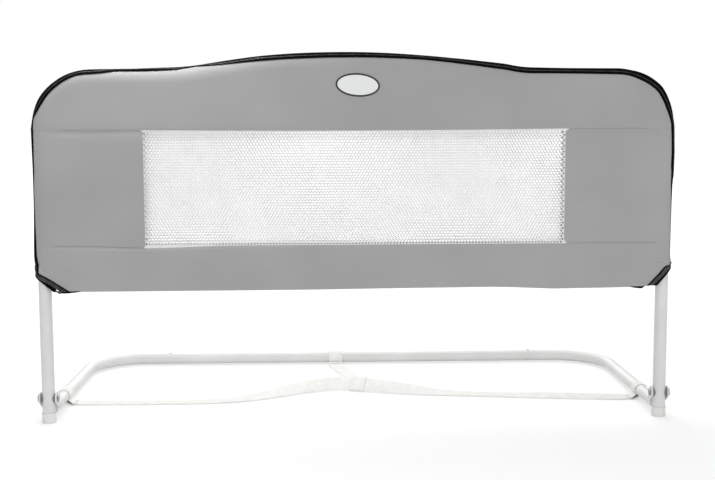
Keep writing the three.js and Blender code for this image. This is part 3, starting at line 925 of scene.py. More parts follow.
@dataclass(frozen=True)
class WovenBand(Finish):
    """Narrow woven band, such as webbing or zip tape: ribs along it and picks across it."""

    slot: str = "white_webbing"
    name: str = "polyester_webbing"
    dark: int = 0xE2E2DF
    light: int = 0xECECE9
    rib: float = 1.9 * MM
    pick: float = 1.3 * MM
    depth: float = 0.12 * MM
    roughness: float = 0.9
    specular: float = 0.3

    def paint(self, tree: Tree) -> Socket:
        """Ribs and picks follow the band through its UV map, which is in metres.

        Args:
            tree: The node tree.

        Returns:
            The finished shader's output.
        """
        place = put(tree, "ShaderNodeUVMap", uv_map="Cloth").outputs["UV"]
        ribs = self.threads(tree, place, "Y", self.rib)
        picks = self.threads(tree, place, "X", self.pick)
        weave = computed(tree, "MULTIPLY", ribs, picks)
        # The weave's raised crossings take up to 35 % of the lighter tone, and its hollows keep the drifting
        # tone
        lighter_on_crowns = ranged(tree, weave, 0.0, 0.35)
        feeds = {
            "Base Color": blended(tree, lighter_on_crowns, self.tone(tree, place, 14 * MM), linear(self.light)),
            "Roughness": self.roughness,
            "Specular IOR Level": self.specular,
            "Normal": self.bump(tree, weave, self.depth, 0.7),
        }
        return glossy(tree, feeds)


@dataclass(frozen=True)
class Thread(Finish):
    """Sewing thread or a satin label: fine parallel fibres with a silky gloss."""

    slot: str = "badge_border"
    name: str = "overlock_thread"
    dark: int = 0x161516
    light: int = 0x242324
    pitch: float = 1.1 * MM

    def paint(self, tree: Tree) -> Socket:
        """Slanting fibres on Object coordinates.

        Args:
            tree: The node tree.

        Returns:
            The finished shader's output.
        """
        slant = {"Vector": self.place(tree), "Rotation": (0, math.radians(35), 0)}
        turned = put(tree, "ShaderNodeMapping", slant).outputs["Vector"]
        fibres = self.threads(tree, turned, "X", self.pitch)
        feeds = {
            "Base Color": blended(tree, fibres, linear(self.dark), linear(self.light)),
            "Roughness": 0.6,
            "Normal": self.bump(tree, fibres, 0.12 * MM, 0.7),
        }
        return glossy(tree, feeds)


@dataclass(frozen=True)
class Finishes:
    """All the surfaces of the object."""

    paint: Finish = PowderCoat()
    cap: Finish = MouldedPlastic()
    nylon: Finish = MouldedPlastic("black_nylon", "nylon_black", 0x6C6E70, 0x7C7E80, 0.6)
    zinc: Finish = PlatedSteel()
    spring: Finish = PlatedSteel("spring_steel", "spring_steel_plain", 0x6B6E71, 0x8A8D90, 0.4)
    cloth: Finish = WovenPolyester()
    net: Finish = KnittedNet()
    webbing: Finish = WovenBand()
    tape: Finish = WovenBand(
        "black_tape", "zip_tape_black", 0x030303, 0x0E0E0F, 1.0 * MM, 1.6 * MM, 0.1 * MM, 0.95, 0.03
    )
    coil: Finish = MouldedPlastic("zip_coil", "nylon_coil_black", 0x121214, 0x44444A, 0.5)
    enamel: Finish = MouldedPlastic("black_nylon", "slider_enamel_black", 0x0C0C0D, 0x161617, 0.3)
    bright: Finish = PlatedSteel("zinc_steel", "bridge_nickel_bright", 0xC8C8C6, 0xD8D8D6, 0.5)
    label: Finish = Thread("badge_face", "satin_label", 0xDFE2E1, 0xECEEEC, 0.9 * MM)
    overlock: Finish = Thread()
    white_sewing: Finish = Thread("white_webbing", "sewing_thread_white", 0xD2D2CE, 0xE4E4E0, 0.8 * MM)


@dataclass
class Part:
    """A sub-assembly, with the sizes and surfaces that all share."""

    plan: Plan
    finishes: Finishes


# Studio


@dataclass
class Studio:
    """Pale floor, white surroundings, soft lamps and the camera."""

    plan: Plan
    camera_place: tuple[float, float, float] = (-0.0485, -1.98105, 0.4738)
    yaw: float = -0.0289
    pitch: float = -0.1118
    roll: float = -0.0036
    lens: float = 60.57
    sensor: float = 36.0
    ambient: float = 0.5

    def build(self) -> None:
        """Sets up everything round the object."""
        bpy.context.scene.view_settings.view_transform = "Standard"
        self.camera()
        self.world()
        self.floor()
        self.lamp("lamp_edge", (-0.32, -0.228, 0.75), (-0.32, -0.228, 0.0), (0.36, 0.04), 0.9, 140)
        for name, x, power in (("lamp_left", -1.2, 8.0), ("lamp_right", 1.2, 13.0)):
            self.lamp(name, (x, -2.2, 0.7), (0, -0.1, 0.3), (1.1, 1.1), power)
        self.lamp("lamp_overhead", (0.0, 0.9, 2.2), (0, 0.2, 0), (1.8, 1.8), 28.0)
        self.lamp("lamp_back", (0.0, 2.4, 1.2), (0, 0, 0.3), (1.4, 1.4), 14.0)
        LOG.info("studio ready")

    def camera(self) -> None:
        """Puts the camera where the picture was taken from, without depth of field."""
        data = bpy.data.cameras.new("camera")
        data.lens = self.lens
        data.sensor_width = self.sensor
        holder = bpy.data.objects.new("camera", data)
        bpy.context.scene.collection.objects.link(holder)
        turn = Matrix.Rotation(self.yaw, 3, "Z") @ Matrix.Rotation(self.pitch, 3, "X")
        level, ahead, upright = (turn @ Vector(axis) for axis in ((1, 0, 0), (0, 1, 0), (0, 0, 1)))
        right = math.cos(self.roll) * level + math.sin(self.roll) * upright
        up = math.cos(self.roll) * upright - math.sin(self.roll) * level
        axes = Matrix((right, up, -ahead)).transposed()
        holder.matrix_world = Matrix.Translation(self.camera_place) @ axes.to_4x4()
        bpy.context.scene.camera = holder

    @staticmethod
    def seen_directly(tree: Tree) -> Socket:
        """A value that tells what is looked at from what only gives light.

        Args:
            tree: The node tree.

        Returns:
            1 for rays from the camera, mirrors and glass, else 0.
        """
        path = put(tree, "ShaderNodeLightPath").outputs
        straight = computed(tree, "MAXIMUM", path["Is Camera Ray"], path["Is Glossy Ray"])
        return computed(tree, "MAXIMUM", straight, path["Is Transmission Ray"])

    def world(self) -> None:
        """White to look at, and a plainer white as a light."""
        world = bpy.data.worlds.new("surroundings")
        tree = new_tree(world)
        strength = ranged(tree, self.seen_directly(tree), self.ambient, 1.0)
        background = put(tree, "ShaderNodeBackground", {"Color": (1, 1, 1, 1), "Strength": strength})
        put(tree, "ShaderNodeOutputWorld", {"Surface": background.outputs["Background"]})
        bpy.context.scene.world = world

    def floor(self) -> None:
        """A wide white floor that keeps the object's soft shadow and fades to plain white far away."""
        deselect_all()
        bpy.ops.mesh.primitive_plane_add(size=30, location=(0, 0, -0.2 * MM))
        floor = bpy.context.object
        floor.name = "floor"
        made = bpy.data.materials.new("studio_floor")
        tree = new_tree(made)
        plain, shadow = (
            put(tree, "ShaderNodeBsdfDiffuse", {"Color": linear(code)}).outputs["BSDF"]
            for code in (0xEEEEEE, 0xB0B0B0)
        )
        place = put(tree, "ShaderNodeTexCoord").outputs["Object"]
        reach = put(tree, "ShaderNodeVectorMath", {0: place}, operation="LENGTH").outputs["Value"]
        strength = ranged(tree, reach, 0.57, 1.0, 0.8, 3.0)
        glow = put(tree, "ShaderNodeEmission", {"Color": (1, 1, 1, 1), "Strength": strength})
        lit = put(tree, "ShaderNodeAddShader", {0: shadow, 1: glow.outputs["Emission"]}).outputs["Shader"]
        both = put(tree, "ShaderNodeMixShader", {0: self.seen_directly(tree), 1: plain, 2: lit})
        put(tree, "ShaderNodeOutputMaterial", {"Surface": both.outputs["Shader"]})
        floor.data.materials.append(made)

    @staticmethod
    def lamp(
        name: str,
        place: Sequence[float],
        target: Sequence[float],
        size: tuple[float, float],
        power: float,
        spread: float = 180,
    ) -> None:
        """Adds one soft rectangular lamp.

        Args:
            name: The lamp's name.
            place: Where it stands.
            target: What it points at.
            size: Its sides, in metres.
            power: Its power in watts.
            spread: The angle that its light fills, in degrees.
        """
        data = bpy.data.lights.new(name, "AREA")
        data.shape = "RECTANGLE"
        data.size, data.size_y = size
        data.energy = power
        data.spread = math.radians(spread)
        lamp = bpy.data.objects.new(name, data)
        bpy.context.scene.collection.objects.link(lamp)
        lamp.location = place
        lamp.rotation_euler = (Vector(target) - Vector(place)).to_track_quat("-Z", "Y").to_euler()


# Strap


@dataclass
class Strap(Part):
    """The webbing strap between the arms, its tether and the sewn loops that hold them."""

    width: float = 25 * MM
    thickness: float = 1.4 * MM
    loop_y: float = 112 * MM
    bar_x: float = -27 * MM
    tail_reach: float = 20 * MM
    slip: float = 0.4 * MM
    snug: float = 0.05 * MM
    stitch: float = 2.6 * MM
    thread: float = 0.28 * MM
    # How far below each tube's axis the tail's layers meet, and its upper side lies
    arm_drops: tuple[float, float] = (13.2 * MM, 11.7 * MM)
    bar_drops: tuple[float, float] = (9.8 * MM, 8.35 * MM)
    # Route points: x, y, z of the middle line in millimetres and its tilt in degrees
    route: Sequence[Sequence[float]] = (
        (-442.2, 112, 2.1, 0), (-420, 112, 1.1, 0), (-330, 111, 1, 0), (-240, 113, 1, 0),
        (-180, 123, 2.8, 7), (-130, 146, 5.8, 22), (-88, 170, 8.4, 33), (-45, 187, 10.4, 39),
        (-18, 190.5, 11.2, 40), (-6, 187.2, 11.3, 40), (8, 182, 11.3, 40), (22, 176.8, 11.3, 40),
        (35, 172.2, 11.2, 40), (66, 163, 9.2, 35), (110, 155, 5.8, 21), (150, 150, 2.6, 6),
        (240, 136, 1.6, 3), (333, 122, 2.6, 8), (415, 112, 2.4, 7), (442.2, 112, 2.1, 1),
    )
    tether_route: Sequence[Sequence[float]] = (
        (-27, 379.4, 2, 0), (-23.5, 360, 1.1, 0), (-12, 322, 1, 0), (-1, 285, 1, 0),
        (5, 245, 1, 0), (8.5, 210, 1.2, 0), (9.5, 186, 2.6, 0),
    )
    loop_station: int = 10

    def build(self) -> None:
        loops = [self.arm_loop(side) for side in Side]
        bar_loop, sleeve = self.bar_loop(), self.sleeve()
        strap, line = self.ribbon("strap_long", self.route, 180)
        tether, tether_line = self.ribbon("strap_tether", self.tether_route, 70)
        install(strap, Body.BASE, self.finishes.webbing, ["long_strap"])
        install(tether, Body.BASE, self.finishes.webbing, ["tether_strap"])

    def section(self, width: float, thickness: float) -> np.ndarray:
        """The band's cross-section: across and up, with rounded long edges.

        Args:
            width: The band's width.
            thickness: Its thickness.

        Returns:
            Points round the section, as rows of across and up.
        """
        edge = thickness / 2
        reach = width / 2 - edge
        angles = np.linspace(-math.pi / 2, math.pi / 2, 5)
        right = [(reach + edge * math.cos(a), edge * math.sin(a)) for a in angles]
        shares = (0.5, 0.0, -0.5)
        top = [(reach * share, edge) for share in shares]
        left = [(-x, -y) for x, y in right]
        bottom = [(-x, -y) for x, y in top]
        return np.array([*right, *top, *left, *bottom])

    def ribbon(self, name: str, route: Sequence[Sequence[float]], steps: int) -> tuple[Piece, list[Vector]]:
        """A strap along its route.

        Args:
            name: The piece's name.
            route: Its points.
            steps: The number of stretches along it.

        Returns:
            The piece and its middle line.
        """
        points = [Vector((x, y, z)) * MM + Vector((0, self.plan.plane, 0)) for x, y, z, _ in route]
        tilts = [math.radians(point[3]) for point in route]
        line, leans = [], []
        for i in range(steps + 1):
            place = i / steps * (len(points) - 1)
            line.append(smooth_point(points, place))
            leans.append(max(smooth_value(tilts, place), 0))
        return self.sweep(name, line, leans), line

    def sweep(self, name: str, line: Sequence[Vector], leans: Sequence[float]) -> Piece:
        """Sweeps the band's section along a line that mostly lies flat.

        Args:
            name: The piece's name.
            line: The middle line.
            leans: At each of its points the angle from lying flat.

        Returns:
            The swept piece.
        """
        axes = []
        for i, lean in enumerate(leans):
            along = (line[min(i + 1, len(line) - 1)] - line[max(i - 1, 0)]).normalized()
            level = Vector((0, 0, 1)).cross(along).normalized()
            across = level * math.cos(lean) + Vector((0, 0, math.sin(lean)))
            across = (across - along * across.dot(along)).normalized()
            axes.append((across, along.cross(across)))
        return swept(name, line, axes, self.section(self.width, self.thickness))

    def wrapped(self, name: str, centre: Vector, ahead: Vector, across: Vector, drop: float) -> Piece:
        """A loop of webbing round a tube, with its two layers sewn flat in a tail.

        Args:
            name: The piece's name.
            centre: The middle of the loop on the tube's axis.
            ahead: The way that the tail points.
            across: Along the tube.
            drop: How far below the axis the two layers meet.

        Returns:
            The loop.
        """
        radius = self.plan.tube + self.snug + self.thickness / 2
        upper, lower = -drop + self.thickness / 2, -drop - self.thickness / 2
        turn = np.radians(np.linspace(-40, 286, 34))
        ring = [(radius * math.cos(a), radius * math.sin(a)) for a in turn]
        path = [(self.tail_reach, upper), (0.8 * self.tail_reach, upper), *ring]
        path += [(share * self.tail_reach, lower) for share in (0.55, 0.8, 1)]
        places = [Vector((x, 0, z)) for x, z in path]
        steps = 96
        smooth = [smooth_point(places, i / steps * (len(places) - 1)) for i in range(steps + 1)]
        up = ahead.cross(across) if ahead.cross(across).z > 0 else across.cross(ahead)
        axes = []
        for i in range(steps + 1):
            step = (smooth[min(i + 1, steps)] - smooth[max(i - 1, 0)]).normalized()
            axes.append((across, up * step.x - ahead * step.z))
        line = [centre + ahead * point.x + up * point.z for point in smooth]
        return swept(name, line, axes, self.section(self.width, self.thickness * 0.94))

    def arm_loop(self, side: Side) -> Piece:
        """The loop round one arm, with its tail towards the middle.

        Args:
            side: The arm.

        Returns:
            The loop.
        """
        centre = self.plan.base_frame @ Vector((side.value * self.plan.half, self.loop_y, 0))
        along = (self.plan.base_frame.to_3x3() @ Vector((0, 1, 0))).normalized()
        inward = Vector((-side.value, 0, 0))
        loop = self.wrapped(f"strap_loop_{side.word}", centre, inward, along, self.arm_drops[0])
        self.sew(f"strap_loop_{side.word}_stitches", centre, inward, along, self.arm_drops[1])
        return install(loop, Body.BASE, self.finishes.webbing, [f"{side.word}_arm_loop"])

    def bar_loop(self) -> Piece:
        """The loop round the crossbar, with its tail towards the guard.

        Returns:
            The loop.
        """
        centre = self.plan.base_frame @ Vector((self.bar_x, self.plan.arm_length, 0))
        ahead = (self.plan.base_frame.to_3x3() @ Vector((0, -1, 0))).normalized()
        loop = self.wrapped("strap_loop_crossbar", centre, ahead, Vector((1, 0, 0)), self.bar_drops[0])
        self.sew("strap_loop_crossbar_stitches", centre, ahead, Vector((1, 0, 0)), self.bar_drops[1])
        return install(loop, Body.BASE, self.finishes.webbing, ["crossbar_loop"])

    def sew(self, name: str, centre: Vector, ahead: Vector, across: Vector, drop: float) -> Piece:
        """The sewn box with a cross that holds a loop's two layers, seen on its tail.

        Args:
            name: The piece's name.
            centre: The middle of the loop on the tube's axis.
            ahead: The way that the tail points.
            across: Along the tube.
            drop: How far below the axis the tail's upper side lies.

        Returns:
            The stitches.
        """
        up = ahead.cross(across) if ahead.cross(across).z > 0 else across.cross(ahead)
        near, far, half = 0.55 * self.tail_reach, 0.93 * self.tail_reach, 0.38 * self.width
        corners = [(near, -half), (far, -half), (far, half), (near, half)]
        lines = [(corners[i], corners[(i + 1) % 4]) for i in range(4)]
        lines += [(corners[0], corners[2]), (corners[1], corners[3])]
        runs = [[centre + ahead * a + across * b + up * -drop for a, b in ends] for ends in lines]
        stitches = stitch_lines(name, runs, up, self.stitch, self.thread)
        return install(stitches, Body.BASE, self.finishes.white_sewing)

    def sleeve(self) -> Piece:
        """The tether's end: a sleeve of webbing round the strap where it is pulled back.

        Returns:
            The sleeve.
        """
        before, here, after = (Vector(self.route[self.loop_station + k][:3]) for k in (-1, 0, 1))
        along = (after - before).normalized()
        along.z = 0
        along.normalize()
        lean = math.radians(self.route[self.loop_station][3])
        level = Vector((0, 0, 1)).cross(along)
        across = level * math.cos(lean) + Vector((0, 0, math.sin(lean)))
        out = along.cross(across)
        centre = here * MM + Vector((0, self.plan.plane, 0))
        middle = self.thickness / 2 + self.slip + self.thickness / 2
        half = self.width / 2 + self.slip + self.thickness / 2 - middle
        ring = []
        for sign, start in ((1, -90), (-1, 90)):
            for angle in np.radians(np.linspace(start, start + 180, 9)):
                ring.append((sign * half + middle * math.cos(angle), middle * math.sin(angle)))
        half_thick = 0.94 * self.thickness / 2
        grid, uvs = [], []
        ends = np.array([-0.5, -0.47, -0.25, 0.0, 0.25, 0.47, 0.5]) * self.width
        shell = [(1.0, end) for end in ends] + [(-1.0, end) for end in ends[::-1]]
        for i, (u, v) in enumerate(ring + ring[:1]):
            normal = Vector((u - (half if u > 0 else -half), v)).normalized()
            row, uv_row = [], []
            for side, end in shell:
                soft = half_thick * (0.4 if abs(abs(end) - 0.5 * self.width) < 1e-9 else 1.0)
                point = centre + along * end
                point += across * (u + normal.x * soft * side) + out * (v + normal.y * soft * side)
                row.append(tuple(point))
                uv_row.append((i * 3 * MM, end))
            grid.append(row)
            uvs.append(uv_row)
        sleeve = from_grid("strap_tether_loop", np.array(grid), True, np.array(uvs), capped=False)
        return install(outward(sleeve, 40), Body.BASE, self.finishes.webbing, ["tether_loop"])


def smooth_point(points: Sequence[Vector], place: float) -> Vector:
    """A point on the smooth curve through some points.

    Args:
        points: The points that the curve goes through.
        place: Where on it, counted in points from the first.

    Returns:
        The point there.
    """
    i = min(int(place), len(points) - 2)
    t = place - i
    before, start = points[max(i - 1, 0)], points[i]
    end, after = points[i + 1], points[min(i + 2, len(points) - 1)]
    if i == 0:
        before = 2 * start - end
    if i == len(points) - 2:
        after = 2 * end - start
    return 0.5 * (
        2 * start
        + (end - before) * t
        + (2 * before - 5 * start + 4 * end - after) * t**2
        + (3 * start - before - 3 * end + after) * t**3
    )


def smooth_value(values: Sequence[float], place: float) -> float:
    """A value on the smooth curve through some values, as smooth_point takes them."""
    return smooth_point([Vector((value, 0, 0)) for value in values], place).x


def stitch_lines(name: str, runs: Sequence[Sequence[Vector]], up: Vector, pitch: float, radius: float) -> Piece:
    """Rows of sewn stitches, each a short arched thread that dips into the cloth at its ends.

    Args:
        name: The piece's name.
        runs: Lines of points that the rows follow, on the cloth's surface.
        up: The way out of the cloth.
        pitch: The length of one stitch with its gap.
        radius: The thread's radius.

    Returns:
        All the stitches as one piece.
    """
    profile = ((0.06, 0.35, 0.0), (0.28, 1.0, 0.7), (0.72, 1.0, 0.7), (0.94, 0.35, 0.0))
    points, faces = [], []
    for run in runs:
        lengths = np.cumsum([0.0] + [(b - a).length for a, b in zip(run, run[1:])])
        count = max(int(lengths[-1] / pitch), 1)
        for k in range(count):
            rings = []
            for share, girth, lift in profile:
                at = (k + share) / count * lengths[-1]
                i = int(np.clip(np.searchsorted(lengths, at) - 1, 0, len(run) - 2))
                span = lengths[i + 1] - lengths[i]
                centre = run[i].lerp(run[i + 1], (at - lengths[i]) / span)
                along = (run[i + 1] - run[i]).normalized()
                side = along.cross(up).normalized()
                centre = centre + up * radius * (lift - 0.3)
                wide, high = side * radius * girth, up * radius * girth
                rings.append([centre + wide, centre + high, centre - wide, centre - high])
            faces += skin(len(rings), 4, True, True, len(points))
            points += [point for ring in rings for point in ring]
    return outward(from_faces(name, points, faces), 60)


# Tubes


@dataclass
class Tubes(Part):
    """The coated steel tubes of the guard and the base, and the parts fitted in them."""

    sides: int = 48
    plug: float = 7.8 * MM
    plug_length: float = 45 * MM
    gap: float = 0.3 * MM
    leg_foot: float = 3.3 * MM
    arm_start: float = 14.9 * MM
    bolt_hole: float = 3.3 * MM
    button_hole: float = 2.7 * MM
    button_inset: float = 20 * MM
    cap_radius: float = 10.7 * MM
    cap_height: float = 15 * MM
    cap_wall: float = 0.9 * MM
    cap_floor: float = 3 * MM
    # The groove round a cap, as depths of its edges under the rim
    cap_groove: tuple[float, float] = (2.6 * MM, 2.0 * MM)

    def build(self) -> None:
        """Makes the tubes in view and finishes the rest."""
        for side in Side:
            install(self.side_tube(side), Body.GUARD, self.finishes.paint, [f"{side.word}_side_tube"])
            install(self.arm(side), Body.BASE, self.finishes.paint, [f"{side.word}_base_arm"])
            for row in ("rail", "base"):
                keep(f"{side.word}_{row}_button", self.finishes.bright)
                keep(f"{side.word}_{row}_button_leaf", self.finishes.spring)
            install(self.foot_cap(side), Body.GUARD, self.finishes.cap, [f"{side.word}_foot_cap"])
        install(self.crossbar(), Body.BASE, self.finishes.paint, ["base_crossbar"])
        keep("top_rail", self.finishes.paint)

    def drawn(self, name: str, moves: Sequence[tuple[str, Any]], start: Matrix) -> Piece:
        """Draws a tube from a circle by extruding and spinning it on.

        Args:
            name: The piece's name.
            moves: The steps in order: ("run", way), ("neck", radius share) or
                ("bend", (centre, axis, angle, steps)).
            start: The place and turn of the first circle, whose axis is its Z.

        Returns:
            The tube as an open skin.
        """
        deselect_all()
        bpy.ops.mesh.primitive_circle_add(vertices=self.sides, radius=self.plan.tube)
        tube = bpy.context.object
        tube.name = name
        tube.matrix_world = start
        settle(tube)
        with edit_mode(tube, "EDGE"):
            bpy.ops.mesh.select_all(action="SELECT")
            for kind, how in moves:
                if kind == "run":
                    bpy.ops.mesh.extrude_region_move(TRANSFORM_OT_translate={"value": tuple(how)})
                elif kind == "neck":
                    bpy.ops.mesh.extrude_region_move(TRANSFORM_OT_translate={"value": (0, 0, 0)})
                    bpy.ops.transform.resize(value=(how, how, how))
                else:
                    centre, axis, angle, steps = how
                    bpy.ops.mesh.spin(steps=steps, angle=angle, center=centre, axis=axis)
        return tube

    def thickened(self, tube: Piece) -> Piece:
        """Gives a tube's skin its wall, inwards, with the faces out.

        Args:
            tube: The open skin.

        Returns:
            The same tube with its wall.
        """
        outward(tube)
        modify(tube, "SOLIDIFY", thickness=self.plan.wall, offset=-1.0, use_even_offset=True)
        return outward(tube, 40)

    def side_tube(self, side: Side) -> Piece:
        """A leg with its upper corner, up to the joint with the top rail.

        Args:
            side: The end of the guard that it is made for.

        Returns:
            The tube, drilled.
        """
        plan = self.plan
        x = side.value * plan.half
        inner = side.value * (plan.half - plan.corner)
        rise = plan.top - plan.corner - self.leg_foot
        turn = Matrix.Translation((x, plan.plane, self.leg_foot))
        bend = ((inner, plan.plane, plan.top - plan.corner), (0, 1, 0), side.value * math.pi / 2, 20)
        across = Vector((-side.value * (plan.half - plan.corner - plan.rail_joint), 0, 0))
        moves = [("run", Vector((0, 0, rise))), ("bend", bend), ("run", across)]
        tube = self.thickened(self.drawn(f"leg_tube_{side.word}", moves, turn))
        reach = Vector((2 * plan.tube, 0, 0))
        bolt = Vector((x, plan.plane, plan.pivot))
        drill(tube, bolt - reach, bolt + reach, self.bolt_hole)
        button = Vector((side.value * (plan.rail_joint + self.button_inset), plan.plane, plan.top))
        drill(tube, button - Vector((0, 0, 2 * plan.tube)), button, self.button_hole)
        return outward(tube, 40)

    def arm(self, side: Side) -> Piece:
        """A base arm with its rear bend and the reduced end that holds the crossbar.

        Args:
            side: The end of the guard that it is made for.

        Returns:
            The arm, drilled.
        """
        plan = self.plan
        x = side.value * plan.half
        length = plan.arm_length
        turn = Matrix.Translation((x, self.arm_start, 0)) @ Matrix.Rotation(-math.pi / 2, 4, "X")
        centre = (side.value * (plan.half - plan.bend), length - plan.bend, 0)
        inward = Vector((-side.value, 0, 0))
        straight = plan.half - plan.bend - plan.base_joint - self.gap
        moves = [
            ("run", Vector((0, length - plan.bend - self.arm_start, 0))),
            ("bend", (centre, (0, 0, 1), -side.value * math.pi / 2, 22)),
            ("run", inward * straight),
            ("neck", self.plug / plan.tube),
            ("run", inward * self.plug_length),
        ]
        arm = self.thickened(self.drawn(f"base_arm_{side.word}", moves, turn))
        button = Vector((side.value * (plan.base_joint - self.button_inset), length, 0))
        drill(arm, button, button + Vector((0, 0, 2 * plan.tube)), self.button_hole)
        arm.matrix_world = plan.base_frame
        return outward(settle(arm), 40)

    def crossbar(self) -> Piece:
        """The straight bar at the back of the base.

        Returns:
            The bar, drilled.
        """
        plan = self.plan
        half = plan.base_joint + 0.6 * self.gap
        turn = Matrix.Translation((-half, plan.arm_length, 0)) @ Matrix.Rotation(math.pi / 2, 4, "Y")
        moves = [("run", Vector((2 * half, 0, 0)))]
        bar = self.thickened(self.drawn("base_crossbar_tube", moves, turn))
        for side in Side:
            button = Vector((side.value * (plan.base_joint - self.button_inset), plan.arm_length, 0))
            drill(bar, button, button + Vector((0, 0, 2 * plan.tube)), self.button_hole)
        bar.matrix_world = plan.base_frame
        return outward(settle(bar), 40)

    def foot_cap(self, side: Side) -> Piece:
        """A moulded cup on the leg's end, with a rolled rim and a rounded foot.

        Args:
            side: The end of the guard that it is made for.

        Returns:
            The cap.
        """
        x, y = side.value * self.plan.half, self.plan.plane
        radius, height, wall = self.cap_radius, self.cap_height, self.cap_wall
        cap = cylinder(f"foot_cap_{side.word}", Vector((x, y, 0)), Vector((x, y, height)), radius, 56)
        with edit_mode(cap, "FACE"):
            pick_faces(cap, lambda middle, normal: normal.z > 0.9)
            bpy.ops.mesh.inset(thickness=wall)
            bpy.ops.mesh.extrude_region_move(TRANSFORM_OT_translate={"value": (0, 0, self.cap_floor - height)})
            ring = [height - depth for depth in self.cap_groove]
            for level in ring:
                bpy.ops.mesh.select_all(action="SELECT")
                bpy.ops.mesh.bisect(plane_co=(x, y, level), plane_no=(0, 0, 1))
            pick_faces(
                cap,
                lambda middle, normal: ring[0] < middle.z < ring[1]
                and math.hypot(middle.x - x, middle.y - y) > radius - wall / 2,
            )
            bpy.ops.transform.shrink_fatten(value=-0.3 * MM)
        with edit_mode(cap, "EDGE"):
            pick_verts(cap, lambda place: place.z < 0.01 * MM)
            bpy.ops.mesh.bevel(offset=1.0 * MM, segments=4, affect="EDGES")
        return outward(cap, 30)


# Hinges


